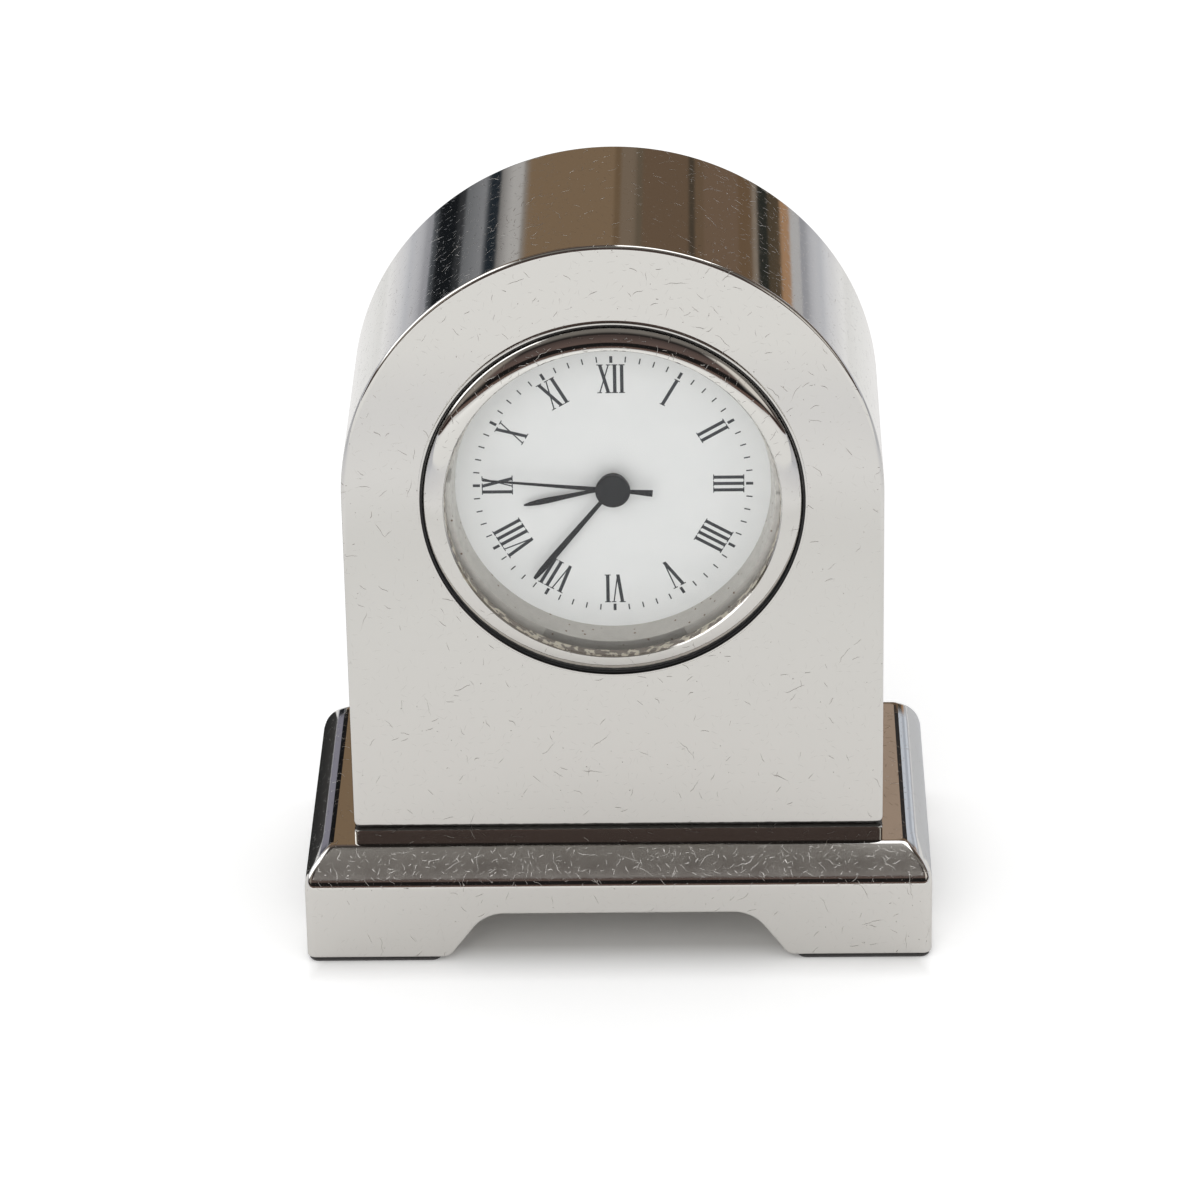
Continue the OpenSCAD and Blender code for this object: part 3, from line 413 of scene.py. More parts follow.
def felt_cloth():
    """Pressed felt: short fibres in every direction, so it is matt, mottled and a little fuzzy at
    the edge."""
    material, tree, output, place = finish("black_felt")
    fibres = add(tree, "ShaderNodeTexNoise",
                 {"Vector": place, "Scale": 6.0, "Detail": 6.0, "Roughness": 0.75})
    shade = add(tree, "ShaderNodeMix",
                {"Factor": fibres.outputs[0], "A": linear("#131112"), "B": linear("#2f2b2a")},
                data_type="RGBA")
    bump = add(tree, "ShaderNodeBump",
               {"Height": fibres.outputs[0], "Strength": 0.6, "Distance": 0.1 * MM})
    shader = add(tree, "ShaderNodeBsdfPrincipled", {
        "Base Color": shade.outputs["Result"], "Roughness": 0.95, "Normal": bump.outputs[0],
        "Sheen Weight": 0.35, "Sheen Roughness": 0.6})
    tree.links.new(shader.outputs[0], output.inputs[0])
    return material


def felt_pad(middle):
    """A slab with round upright corners: rings of a rounded rectangle at rising heights, with a
    small bulge half way up where the felt is pressed, closed by a flat top and bottom."""
    half = np.array([foot_w, foot_d]) / 2 - felt_inset - felt_corner
    round_trip = [np.array(sign) * half + arc([0, 0], felt_corner, start, start + 90, 6)
                  for sign, start in (((1, 1), 0), ((-1, 1), 90), ((-1, -1), 180), ((1, -1), 270))]
    line = np.concatenate(round_trip)
    levels = np.linspace(0, 1, 6)
    swell = 1 - 0.02 * (2 * levels - 1) ** 2
    rings = np.stack([np.column_stack([line * grow + middle, np.full(len(line), level * felt_t)])
                      for level, grow in zip(levels, swell)])
    last, count = len(levels) - 1, len(line)
    ends = [list(range(count)), list(range(last * count, (last + 1) * count))]
    return rings, grid_faces(len(levels), count, columns_close=True).tolist() + ends


feet = [(x * (base_w - foot_w) / 2, y * (base_d - foot_d) / 2) for x in (-1, 1) for y in (-1, 1)]
piece("felt_pads", [felt_pad(np.array(foot)) for foot in feet], felt_cloth(), "clock_body",
      ["foot_pads"])

# Case: a solid cast block with a half-round top, bored right through for the insert, then plated
# and polished like the base. Two screws from below hold it down.
case_w = 50.8
case_d = 24.84
arch_z = 46.3
case_y = -base_d / 2 + 6
case_edge = 0.4
foot_corner = 0.7
clock_z = arch_z - 0.34
bore_r = 17.5
bore_edge = 0.2
joint_shade_h = 0.44
joint_shade_fade = 0.1


def case_line(inset):
    """The front outline at one inset, anticlockwise from the bottom's middle: bottom, round corner,
    side, half circle and down again. Every inset has the same number of points, so rings of it join
    one to one."""
    half, corner = case_w / 2 - inset, max(foot_corner - inset, 0.02)
    low = base_h + inset
    bottom = np.column_stack([np.linspace(0, half - corner, 14), np.full(14, low)])
    bend = arc([half - corner, low + corner], corner, -90, 0, 8)[1:]
    side = np.column_stack([np.full(20, half), np.linspace(low + corner, arch_z, 21)[1:]])
    dome = arc([0, arch_z], half, 0, 90, 64)[1:]
    right = np.concatenate([bottom, bend, side, dome])
    return np.concatenate([right, (right * [-1, 1])[-2:0:-1]])


def case_block():
    """A closed loop of rings round the bore: out over the front face, round the edge, back along
    the sides, round the back edge, in over the back face and forward through the bore. On a face a
    ring lies between outline and bore."""
    edge_line = case_line(case_edge)
    away = edge_line - [0, clock_z]
    bore = [0, clock_z] + away * (bore_r / np.linalg.norm(away, axis=1))[:, None]
    wide = [0, clock_z] + away * ((bore_r + bore_edge) / np.linalg.norm(away, axis=1))[:, None]
    front, back = case_y, case_y + case_d
    face = [0.0, 0.012, 0.1, 0.3, 0.5, 0.7, 0.9, 0.985, 1.0]
    bend = np.radians(np.linspace(90, 0, 9))
    small = np.radians(np.linspace(0, 90, 5))
    rings = [(wide + (edge_line - wide) * part, front) for part in face]
    rings += [(case_line(case_edge * (1 - math.cos(turn))), front + case_edge * (1 - math.sin(turn)))
              for turn in bend[1:]]
    rings += [(case_line(0), front + case_edge + (case_d - 2 * case_edge) * part)
              for part in (0.004, 0.25, 0.5, 0.75, 0.996)]
    rings += [(case_line(case_edge * (1 - math.cos(turn))), back - case_edge * (1 - math.sin(turn)))
              for turn in bend[::-1]]
    rings += [(wide + (edge_line - wide) * part, back) for part in face[::-1][1:]]
    rings += [(bore + (wide - bore) * (1 - math.sin(turn)), back - bore_edge * (1 - math.cos(turn)))
              for turn in small[1:]]
    rings += [(bore, back + (front - back) * part) for part in (0.02, 0.5, 0.98)]
    rings += [(bore + (wide - bore) * (1 - math.cos(turn)), front + bore_edge * (1 - math.sin(turn)))
              for turn in small[:-1]]
    points = np.stack([np.column_stack([flat[:, 0], np.full(len(flat), y), flat[:, 1]])
                       for flat, y in rings])
    return points, grid_faces(len(rings), len(edge_line), rows_close=True, columns_close=True)


def joint_painted_shade(tree, place):
    """Painted shade in the corner where the case stands on the base: a dark line for the shade there
    and for the dark ledge, which the case's low edge would mirror if the base showed in it."""
    height = add(tree, "ShaderNodeSeparateXYZ", {0: place}).outputs["Z"]
    ragged = add(tree, "ShaderNodeTexNoise", {"Vector": place, "Scale": 1.4, "Detail": 4.0}).outputs[0]
    level = add(tree, "ShaderNodeMath", {0: ragged, 1: 0.14, 2: height},
                operation="MULTIPLY_ADD").outputs[0]
    top = base_h + joint_shade_h
    cover = add(tree, "ShaderNodeMapRange", {"Value": level, "From Min": top, "From Max": top - joint_shade_fade})
    # The colour of the painted shade and painted dark reflection along the case's foot.
    return cover.outputs[0], linear("#24211f")


def gripped_sides(tree):
    """Where hands have held the arch and rings have scored it: 1 on its two sides, and 0 on top and
    in front."""
    facing = add(tree, "ShaderNodeSeparateXYZ",
                 {0: add(tree, "ShaderNodeNewGeometry").outputs["Normal"]}).outputs
    aside = add(tree, "ShaderNodeMath", {0: facing["X"]}, operation="ABSOLUTE").outputs[0]
    aside = add(tree, "ShaderNodeMapRange",
                {"Value": aside, "From Min": 0.72, "From Max": 0.92, "To Max": 0.75}).outputs[0]
    above = add(tree, "ShaderNodeMapRange",
                {"Value": facing["Z"], "From Min": 0.02, "From Max": 0.15}).outputs[0]
    return add(tree, "ShaderNodeMath", {0: aside, 1: above}, operation="MULTIPLY").outputs[0]


case_silver = silver_plate("polished_silver_plate_case", 0.005, 1.0, joint_painted_shade, scarred=gripped_sides)
piece("case", [case_block()], case_silver, "clock_body", ["case_block"])

# Case screws: bright steel, turned and slotted, sunk in the base from below.
def turned_metal(name, light, dark, rough, lines):
    """Bare metal off a lathe or press: fine tool lines of that spacing in millimetres, coarser than
    real so that they show, with a slow change of tone where the metal has tarnished."""
    material, tree, output, place = finish(name)
    tone = add(tree, "ShaderNodeTexNoise", {"Vector": place, "Scale": 0.5, "Detail": 3.0})
    cut = add(tree, "ShaderNodeTexWave",
              {"Vector": place, "Scale": 0.3 / lines, "Distortion": 1.5, "Detail": 2.0},
              bands_direction="Y")
    colour = add(tree, "ShaderNodeMix",
                 {"Factor": tone.outputs[0], "A": linear(light), "B": linear(dark)},
                 data_type="RGBA")
    grip = add(tree, "ShaderNodeMapRange",
               {"Value": tone.outputs[0], "To Min": rough * 0.8, "To Max": rough * 1.3})
    bump = add(tree, "ShaderNodeBump",
               {"Height": cut.outputs[1], "Strength": 0.25, "Distance": 0.02 * MM})
    shader = add(tree, "ShaderNodeBsdfPrincipled", {
        "Base Color": colour.outputs["Result"], "Metallic": 1.0, "Roughness": grip.outputs[0],
        "Normal": bump.outputs[0]})
    tree.links.new(shader.outputs[0], output.inputs[0])
    return material


def dress(material, *names):
    """Gives CAD nodes a finish in place of their plain one."""
    for name in names:
        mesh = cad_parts[name].data
        mesh.materials.clear()
        mesh.materials.append(material)


screw_steel = turned_metal("bright_steel", "#9fa0a3", "#77787c", 0.28, 0.15)
dress(screw_steel, "base_screws", "bridge_screws")

# Bezel: turned brass, plated with the case's silver. A thin lip lies on the case, then come a
# groove, dark with painted shade, and a rounded band, up to a sharp crest over the glass, whose
# plating is chipped. Low down the band carries a painted dark reflection of the ledge.
insert_r = 17.2
bezel_r = 18.25
lip_h = 0.3
lip_w = 0.22
groove_w = 0.18
groove_floor = 0.05
crest_h = 1.12
crest_drop = 0.25
crest_w = 0.19
sight_r = 15.66
lens_set = 0.1
seat_r = 16.25
skirt_l = 5.4
shoulder_in = 0.65
band_tilts = 9, 26, 72
climb_least, climb_most = 0.03, 1.07
chips_start, chips_full = -11.5, -15.0


def turned(line, steps=256):
    """A profile of radii and depths behind the case's face, carried once round the insert's
    axis."""
    line = np.asarray(line, float)
    turn = np.linspace(0, 2 * np.pi, steps, endpoint=False)
    radius, depth = line[:, :1], line[:, 1:]
    points = np.stack([radius * np.sin(turn), np.broadcast_to(case_y + depth, (len(line), steps)),
                       clock_z + radius * np.cos(turn)], -1)
    return points, grid_faces(len(line), steps, rows_close=True, columns_close=True)


def softened(line, radii, steps=4):
    """A closed profile with each corner rounded to its own radius, or kept sharp where that is
    0."""
    line = [np.array(point, float) for point in line]
    parts = []
    for i, radius in enumerate(radii):
        before, corner, after = line[i - 1], line[i], line[(i + 1) % len(line)]
        parts.append(rounded(before, corner, after, radius, steps) if radius else corner[None, :])
    return np.concatenate(parts)


groove_r = bezel_r - lip_w
band_r = groove_r - groove_w
land_r = sight_r + crest_w
shoulder_r = band_r - shoulder_in
band, at = [], np.array([land_r, -crest_h])
reaches = shoulder_r - land_r, band_r - shoulder_r
for tilt_in, tilt_out, reach in zip(band_tilts, band_tilts[1:], reaches):
    tilt = np.radians(np.linspace(tilt_in, tilt_out, 17))
    swing = np.column_stack([np.sin(tilt), -np.cos(tilt)]) * reach / (np.sin(tilt[-1]) - np.sin(tilt[0]))
    band.append((at + swing - swing[0])[1 if band else 0:])
    at = band[-1][-1]
band = np.concatenate(band)[::-1]
band[:, 1] = np.minimum(band[:, 1], -groove_floor)
bezel_line = softened(
    [[insert_r, 0], [bezel_r, 0], [bezel_r, -lip_h], [groove_r, -lip_h], [groove_r, -groove_floor], *band,
     [sight_r, -crest_h + crest_drop], [sight_r, lens_set], [seat_r, lens_set],
     [seat_r, skirt_l], [insert_r, skirt_l]],
    [0, 0, 0.07, 0.05, 0.03] + [0] * len(band) + [0.04, 0, 0, 0.1, 0.1])


def ramp(tree, value, low, high, keys):
    """A colour ramp between two values: each key is a value, an sRGB colour and, where it isn't 1,
    an alpha."""
    share = add(tree, "ShaderNodeMapRange", {"Value": value, "From Min": low, "From Max": high})
    made = add(tree, "ShaderNodeValToRGB", {"Fac": share.outputs[0]})
    made.color_ramp.elements.remove(made.color_ramp.elements[1])
    for i, (at, code, *alpha) in enumerate(keys):
        place = (at - low) / (high - low)
        key = made.color_ramp.elements[0] if i == 0 else made.color_ramp.elements.new(place)
        key.position = place
        key.color = (*linear(code)[:3], *(alpha or [1]))
    return made.outputs


def bezel_painted_reflection_and_chips(tree, place):
    """Painted shade in the groove and a painted dark reflection of the ledge, which climbs the band
    towards six o'clock and ends in a tan and a brown line, painted reflections of the base's bevel
    and its edge; and chipped plating low on the crest, which is wear. The distance from the groove
    is taken as a share of how far the painted reflection climbs at that height."""
    level = add(tree, "ShaderNodeVectorMath", {0: place, 1: (0, 0, -clock_z)}, operation="ADD").outputs[0]
    flat = add(tree, "ShaderNodeVectorMath", {0: level, 1: (1, 0, 1)}, operation="MULTIPLY").outputs[0]
    away = add(tree, "ShaderNodeVectorMath", {0: flat}, operation="LENGTH").outputs["Value"]
    part = add(tree, "ShaderNodeSeparateXYZ", {0: level}).outputs
    climb = add(tree, "ShaderNodeMapRange", {
        "Value": part["Z"], "From Min": 1.0, "From Max": -band_r,
        "To Min": climb_least, "To Max": climb_most}).outputs[0]
    in_groove = add(tree, "ShaderNodeMath", {0: away, 1: band_r}, operation="SUBTRACT").outputs[0]
    share = add(tree, "ShaderNodeMath", {0: in_groove, 1: climb}, operation="DIVIDE").outputs[0]
    ragged = add(tree, "ShaderNodeTexNoise", {"Vector": place, "Scale": 2.2, "Detail": 4.0}).outputs[0]
    share = add(tree, "ShaderNodeMath", {0: ragged, 1: 0.14, 2: share},
                operation="MULTIPLY_ADD").outputs[0]
    # Painted reflection: black for the ledge, tan for the bevel and brown for its edge.
    dark_reflection = ramp(tree, share, -1.2, 0.4, [
        (-1.02, "#33261b", 0.0), (-0.98, "#33261b", 0.9), (-0.9, "#8b7f6e", 0.5), (-0.7, "#8b7f6e", 0.5),
        (-0.6, "#0c0c0d", 1.0)])
    inside = add(tree, "ShaderNodeMath", {0: away, 1: groove_r + 0.01}, operation="LESS_THAN").outputs[0]
    front = add(tree, "ShaderNodeMath", {0: part["Y"], 1: case_y - 0.04},
                operation="LESS_THAN").outputs[0]
    held = add(tree, "ShaderNodeMath", {0: inside, 1: front}, operation="MULTIPLY").outputs[0]
    cover = add(tree, "ShaderNodeMath", {0: dark_reflection["Alpha"], 1: held}, operation="MULTIPLY").outputs[0]
    low = add(tree, "ShaderNodeMapRange",
              {"Value": part["Z"], "From Min": chips_start, "From Max": chips_full}).outputs[0]
    flake = add(tree, "ShaderNodeTexNoise", {"Vector": place, "Scale": 1.3, "Detail": 3.0}).outputs[0]
    edge = add(tree, "ShaderNodeMath", {0: flake, 1: 0.22, 2: -0.06}, operation="MULTIPLY_ADD").outputs[0]
    edge = add(tree, "ShaderNodeMath", {0: low, 1: edge, 2: sight_r + 0.05},
               operation="MULTIPLY_ADD").outputs[0]
    past = add(tree, "ShaderNodeMath", {0: away, 1: edge}, operation="SUBTRACT").outputs[0]
    chipped = add(tree, "ShaderNodeMapRange",
                  {"Value": past, "From Min": 0.015, "From Max": -0.015, "To Max": 0.8})
    bared = ramp(tree, flake, 0.3, 0.7,
                 [(0.3, "#6b5a49"), (0.5, "#5a4a3b"), (0.56, "#d9d0bb"), (0.7, "#d9d0bb")])
    shade = add(tree, "ShaderNodeMix",
                {"Factor": chipped.outputs[0], "A": dark_reflection["Color"], "B": bared["Color"]},
                data_type="RGBA").outputs["Result"]
    return add(tree, "ShaderNodeMath", {0: cover, 1: chipped.outputs[0]},
               operation="MAXIMUM").outputs[0], shade


bezel_silver = silver_plate("polished_silver_plate_bezel", 0.002, 0.8, bezel_painted_reflection_and_chips)
piece("bezel_ring", [turned(bezel_line, steps=320)], bezel_silver, "insert", ["bezel"],
      crease=40)

# Dial ring: a thin spun ring, silvered and left satin, between the glass and the dial. Its land
# carries the glass and its wall runs down to the dial. It has tarnished in small brown dots.
ring_land = 0.44
lens_back = 1.1
dial_set = 3.6
dial_back = 4.0
dial_sight = 14.85
painted_shade_from = -11


def tarnished_silver():
    """Thin silvering on brass with a satin grain: paler than the plate and not a mirror, with brown
    specks. It is darker towards the bottom and paler towards the top, which is painted light and shade."""
    material, tree, output, place = finish("satin_silvered_ring")
    grain = add(tree, "ShaderNodeTexNoise", {"Vector": place, "Scale": 1.2, "Detail": 4.0})
    spots = add(tree, "ShaderNodeTexVoronoi", {"Vector": place, "Scale": 1.1})
    near = add(tree, "ShaderNodeMapRange",
               {"Value": spots.outputs["Distance"], "From Min": 0.16, "From Max": 0.07})
    # Painted light and shade: the colour runs from darker low down to paler at the top.
    height = add(tree, "ShaderNodeSeparateXYZ", {0: place}).outputs["Z"]
    height = add(tree, "ShaderNodeMapRange",
                 {"Value": height, "From Min": clock_z + painted_shade_from, "From Max": clock_z}).outputs[0]
    pale = add(tree, "ShaderNodeMix", {"Factor": height, "A": linear("#c6c3bd"), "B": linear("#f0eee8")},
               data_type="RGBA").outputs["Result"]
    clean = add(tree, "ShaderNodeMix", {"Factor": grain.outputs[0], "A": pale, "B": linear("#b3b0aa")},
                data_type="RGBA")
    spotted = add(tree, "ShaderNodeMix", {"Factor": near.outputs[0], "A": clean.outputs["Result"],
                                          "B": linear("#6b4f35")}, data_type="RGBA")
    bump = add(tree, "ShaderNodeBump",
               {"Height": grain.outputs[0], "Strength": 0.2, "Distance": 0.02 * MM})
    shader = add(tree, "ShaderNodeBsdfPrincipled", {
        "Base Color": spotted.outputs["Result"], "Metallic": 0.3, "Roughness": 0.34,
        "Normal": bump.outputs[0]})
    tree.links.new(shader.outputs[0], output.inputs[0])
    return material


ring_line = softened(
    [[sight_r - ring_land, lens_back], [seat_r - 0.05, lens_back], [seat_r - 0.05, dial_set],
     [dial_sight, dial_set], [sight_r - ring_land - 0.06, lens_back + 0.3]], [0.05, 0, 0, 0, 0.05])
piece("silvered_ring", [turned(ring_line)], tarnished_silver(), "insert", ["dial_ring"])

# Glass: a flat disc of mineral glass with a ground edge, dropped into the bezel's seat. Use has
# left a few very fine scratches in it.
grind = 0.2


def clear_glass():
    """Mineral glass, so thin that it bends nothing: its face mirrors a share of the light, more at
    a slant, and the rest goes straight through. Fine scratches blur what it mirrors."""
    material, tree, output, place = finish("mineral_glass")
    worn = scratches(tree, place, 3.4, 1.6, 0.03, 0.3, 5.0)
    rough = add(tree, "ShaderNodeMath", {0: worn, 1: 0.3, 2: 0.01}, operation="MULTIPLY_ADD")
    slant = add(tree, "ShaderNodeLayerWeight", {"Blend": 0.5}).outputs["Facing"]
    slant = add(tree, "ShaderNodeMath", {0: slant, 1: 5.0}, operation="POWER").outputs[0]
    share = add(tree, "ShaderNodeMath", {0: slant, 1: 0.96, 2: 0.022}, operation="MULTIPLY_ADD")
    through = add(tree, "ShaderNodeBsdfTransparent", {"Color": linear("#ffffff")})
    mirror = add(tree, "ShaderNodeBsdfGlossy", {"Roughness": rough.outputs[0]})
    mix = add(tree, "ShaderNodeMixShader",
              {0: share.outputs[0], 1: through.outputs[0], 2: mirror.outputs[0]})
    tree.links.new(mix.outputs[0], output.inputs[0])
    return material


lens_r = seat_r - 0.05
lens_line = [[0, lens_set], [lens_r - grind - 0.05, lens_set], [lens_r - grind, lens_set],
             [lens_r, lens_set + grind], [lens_r, lens_back], [lens_r - 0.05, lens_back], [0, lens_back]]
piece("glass_disc", [turned(lens_line)], clear_glass(), "insert", ["lens"])

# Dial: a thin disc of sheet metal in satin white enamel, with the minute track and the Roman
# numerals printed on it in dark grey. The print stands a hair's breadth above the enamel.
dial_hole = 1.2
ink_t = 0.012
numeral_foot = 9.42
numeral_h = 2.92
stem_w = 0.32
hair_w = 0.12
serif_h = 0.09
numerals = ["I", "II", "III", "IIII", "V", "VI", "VII", "VIII", "IX", "X", "XI", "XII"]
advance = {"I": 0.66, "V": 1.3, "X": 1.32}
strokes = {  # foot, head, width of each slanted stroke and the middle, level and width of each serif
    "I": ([(0, 0, stem_w)], [(0, 0, 0.56), (0, 1, 0.56)]),
    "V": ([(0.02, -0.4, stem_w), (0.04, 0.42, hair_w)], [(-0.4, 1, 0.58), (0.42, 1, 0.44)]),
    "X": ([(0.4, -0.4, stem_w), (-0.42, 0.42, hair_w)],
          [(-0.4, 1, 0.58), (0.42, 1, 0.44), (0.4, 0, 0.58), (-0.42, 0, 0.44)]),
}
track_in, track_out = 12.6, 13.18
mark_w, hour_mark_w, hour_mark_longer = 0.12, 0.28, 0.1


def numeral_bars(numeral):
    """Four-cornered bars of one numeral, about its middle and its foot: slanted strokes, and serifs
    as level bars."""
    bars, start = [], -sum(advance[letter] for letter in numeral) / 2
    for letter in numeral:
        middle = start + advance[letter] / 2
        for foot, head, width in strokes[letter][0]:
            bars.append([(middle + foot - width / 2, 0), (middle + foot + width / 2, 0),
                         (middle + head + width / 2, numeral_h), (middle + head - width / 2, numeral_h)])
        for across, level, width in strokes[letter][1]:
            low = level * (numeral_h - serif_h)
            bars.append([(middle + across - width / 2, low), (middle + across + width / 2, low),
                         (middle + across + width / 2, low + serif_h),
                         (middle + across - width / 2, low + serif_h)])
        start += advance[letter]
    return np.array(bars)


def printed_bars():
    """Every bar of the print on the dial's own plane: a bar is turned clockwise to its minute about
    the centre."""
    bars = []
    for hour, numeral in enumerate(numerals, 1):
        flat = numeral_bars(numeral) + [0, numeral_foot]
        bars.append((flat, hour * 30))
    for minute in range(60):
        half = (hour_mark_w if minute % 5 == 0 else mark_w) / 2
        inner = track_in - (hour_mark_longer if minute % 5 == 0 else 0)
        mark = [[(-half, inner), (half, inner), (half, track_out), (-half, track_out)]]
        bars.append((np.array(mark), minute * 6))
    turned_bars = []
    for flat, degrees in bars:
        turn = math.radians(degrees)
        turned_bars.append(flat @ np.array([[math.cos(turn), -math.sin(turn)],
                                            [math.sin(turn), math.cos(turn)]]))
    return np.concatenate(turned_bars)


def ink_layer():
    """The print as one thin solid: the bars are joined into one plane figure, which is drawn twice,
    at the ink's front and inside the enamel, with a wall along each outer line, which only one
    triangle has."""
    bars = printed_bars().reshape(-1, 2)
    quads = np.arange(len(bars)).reshape(-1, 4).tolist()
    found = delaunay_2d_cdt([Vector(point) for point in bars], [], quads, 1, 1e-6)
    flat = np.array([tuple(point) for point in found[0]])
    triangles = np.array([face for face, own in zip(found[2], found[5]) if own])
    sides = np.concatenate([triangles[:, [0, 1]], triangles[:, [1, 2]], triangles[:, [2, 0]]])
    _, first, times = np.unique(np.sort(sides, 1), axis=0, return_index=True, return_counts=True)
    outer = sides[first[times == 1]]
    front, back = case_y + dial_set - ink_t, case_y + dial_set + ink_t
    layers = [np.column_stack([flat[:, 0], np.full(len(flat), y), clock_z + flat[:, 1]])
              for y in (front, back)]
    count = len(flat)
    walls = np.column_stack([outer, outer[:, ::-1] + count])
    faces = triangles.tolist() + (triangles[:, ::-1] + count).tolist() + walls.tolist()
    return np.concatenate(layers), faces


def dial_enamel():
    """Satin white enamel sprayed on metal: nearly even, with a faint mottle and a soft gloss."""
    material, tree, output, place = finish("satin_white_enamel")
    cloud = add(tree, "ShaderNodeTexNoise", {"Vector": place, "Scale": 0.45, "Detail": 3.0})
    grain = add(tree, "ShaderNodeTexNoise", {"Vector": place, "Scale": 5.0, "Detail": 2.0})
    tone = add(tree, "ShaderNodeMix",
               {"Factor": cloud.outputs[0], "A": linear("#ebeceb"), "B": linear("#e4e6e5")},
               data_type="RGBA")
    bump = add(tree, "ShaderNodeBump",
               {"Height": grain.outputs[0], "Strength": 0.15, "Distance": 0.02 * MM})
    shader = add(tree, "ShaderNodeBsdfPrincipled", {
        "Base Color": tone.outputs["Result"], "Roughness": 0.42, "Normal": bump.outputs[0], "IOR": 1.5})
    tree.links.new(shader.outputs[0], output.inputs[0])
    return material


def printing_ink():
    """Pad-printing ink, a little thinner in places, so that the grey is not quite even."""
    material, tree, output, place = finish("dark_grey_printing_ink")
    thin = add(tree, "ShaderNodeTexNoise", {"Vector": place, "Scale": 2.5, "Detail": 3.0})
    tone = add(tree, "ShaderNodeMix",
               {"Factor": thin.outputs[0], "A": linear("#1f2328"), "B": linear("#33373c")},
               data_type="RGBA")
    shader = add(tree, "ShaderNodeBsdfPrincipled",
                 {"Base Color": tone.outputs["Result"], "Roughness": 0.5})
    tree.links.new(shader.outputs[0], output.inputs[0])
    return material


dial_line = [[dial_hole, dial_set], [dial_hole + 0.05, dial_set], [lens_r - 0.05, dial_set],
             [lens_r, dial_set], [lens_r, dial_back], [dial_hole, dial_back]]
piece("dial_plate", [turned(dial_line)], dial_enamel(), "insert", ["dial"])
piece("dial_print", [ink_layer()], printing_ink(), "insert")

# Hands: stamped from thin brass, with a ridge pressed along the middle, and lacquered charcoal.
# Each sits on a round boss. The hour hand is nearest the dial, and the second hand carries the
# black cap.
hand_t = 0.14
hand_gap = 0.4
hour_level = dial_set - 0.6
minute_level = hour_level - hand_gap
second_level = minute_level - hand_gap
ridge_h = 0.05
hour_turned, minute_turned, second_turned = 8.59 / 12, 36.5 / 60, 45.9 / 60
boss_r = 1.42
boss_h = 0.22
cap_r = 1.65
cap_h = 0.3
hour_pipe_r, minute_pipe_r = 0.93, 0.6


def blade(stations, level, turn, ridge):
    """One hand: at each station along it a flat strip of that half width with a ridge in the
    middle, its cross-section carried along the hand and turned clockwise by that share of a turn.
    Stations are places along, half widths and how much of the ridge there is."""
    place, half, pressed = np.array(stations, float).T
    across = np.array([-1.0, -0.92, 0.0, 0.92, 1.0, 0.92, -0.92])
    lift = np.array([0.5, 0.82, 0.82, 0.82, 0.5, 0.0, 0.0]) * hand_t
    u = half[:, None] * across
    h = lift + np.where(across == 0, ridge, 0)[None, :] * pressed[:, None] + 0 * u
    s = np.broadcast_to(place[:, None], u.shape)
    angle = 2 * math.pi * turn
    points = np.stack([u * math.cos(angle) + s * math.sin(angle), case_y + level + hand_t - h,
                       clock_z - u * math.sin(angle) + s * math.cos(angle)], -1)
    rows, columns = u.shape
    ends = [list(range(columns)), list(range((rows - 1) * columns, rows * columns))]
    return points, grid_faces(rows, columns, columns_close=True).tolist() + ends


def lacquer():
    """Charcoal lacquer on brass: satin, with a fine orange peel that also varies its tone a little."""
    material, tree, output, place = finish("charcoal_lacquer")
    peel = add(tree, "ShaderNodeTexNoise", {"Vector": place, "Scale": 4.0, "Detail": 3.0})
    tone = add(tree, "ShaderNodeMix",
               {"Factor": peel.outputs[0], "A": linear("#1b1c1e"), "B": linear("#2a2b2e")},
               data_type="RGBA")
    bump = add(tree, "ShaderNodeBump",
               {"Height": peel.outputs[0], "Strength": 0.3, "Distance": 0.03 * MM})
    shader = add(tree, "ShaderNodeBsdfPrincipled", {
        "Base Color": tone.outputs["Result"], "Roughness": 0.38, "Normal": bump.outputs[0],
        "Specular IOR Level": 0.2})
    tree.links.new(shader.outputs[0], output.inputs[0])
    return material


def boss(level, bore):
    """The round seat pressed on a pipe: a disc with soft edges, bored for what runs through it."""
    return turned(softened([[bore, level - boss_h], [boss_r, level - boss_h], [boss_r, level + hand_t],
                            [bore, level + hand_t]], [0, 0.07, 0.03, 0]), steps=96)


hand_lacquer = lacquer()
hour_stations = [(1.0, 0.19, 0), (2.1, 0.19, 0), (2.3, 0.17, 0.4), (2.6, 0.19, 1), (4.5, 0.24, 1),
                 (6.2, 0.31, 1), (7.2, 0.29, 1), (8.0, 0.2, 0.7), (8.45, 0.11, 0.3), (8.6, 0.05, 0)]
minute_stations = [(1.0, 0.21, 0), (2.2, 0.21, 0), (2.6, 0.22, 0.6), (4.2, 0.24, 1), (6.0, 0.27, 1),
                   (9.2, 0.31, 1), (10.8, 0.29, 1), (11.6, 0.22, 0.6), (11.9, 0.17, 0.2), (12.0, 0.14, 0)]
second_stations = [(-3.75, 0.34, 0), (-3.7, 0.35, 0), (-1.6, 0.2, 0), (0, 0.22, 0), (1.7, 0.22, 0),
                   (6.0, 0.15, 0), (12.2, 0.08, 0), (12.3, 0.05, 0)]
hour_leaf = blade(hour_stations, hour_level, hour_turned, ridge_h)
minute_leaf = blade(minute_stations, minute_level, minute_turned, ridge_h)
needle = blade(second_stations, second_level, second_turned, 0)
cap_line = softened([[0, second_level - cap_h], [cap_r, second_level - cap_h],
                     [cap_r, second_level + hand_t], [0, second_level + hand_t]], [0, 0.16, 0.04, 0], 6)
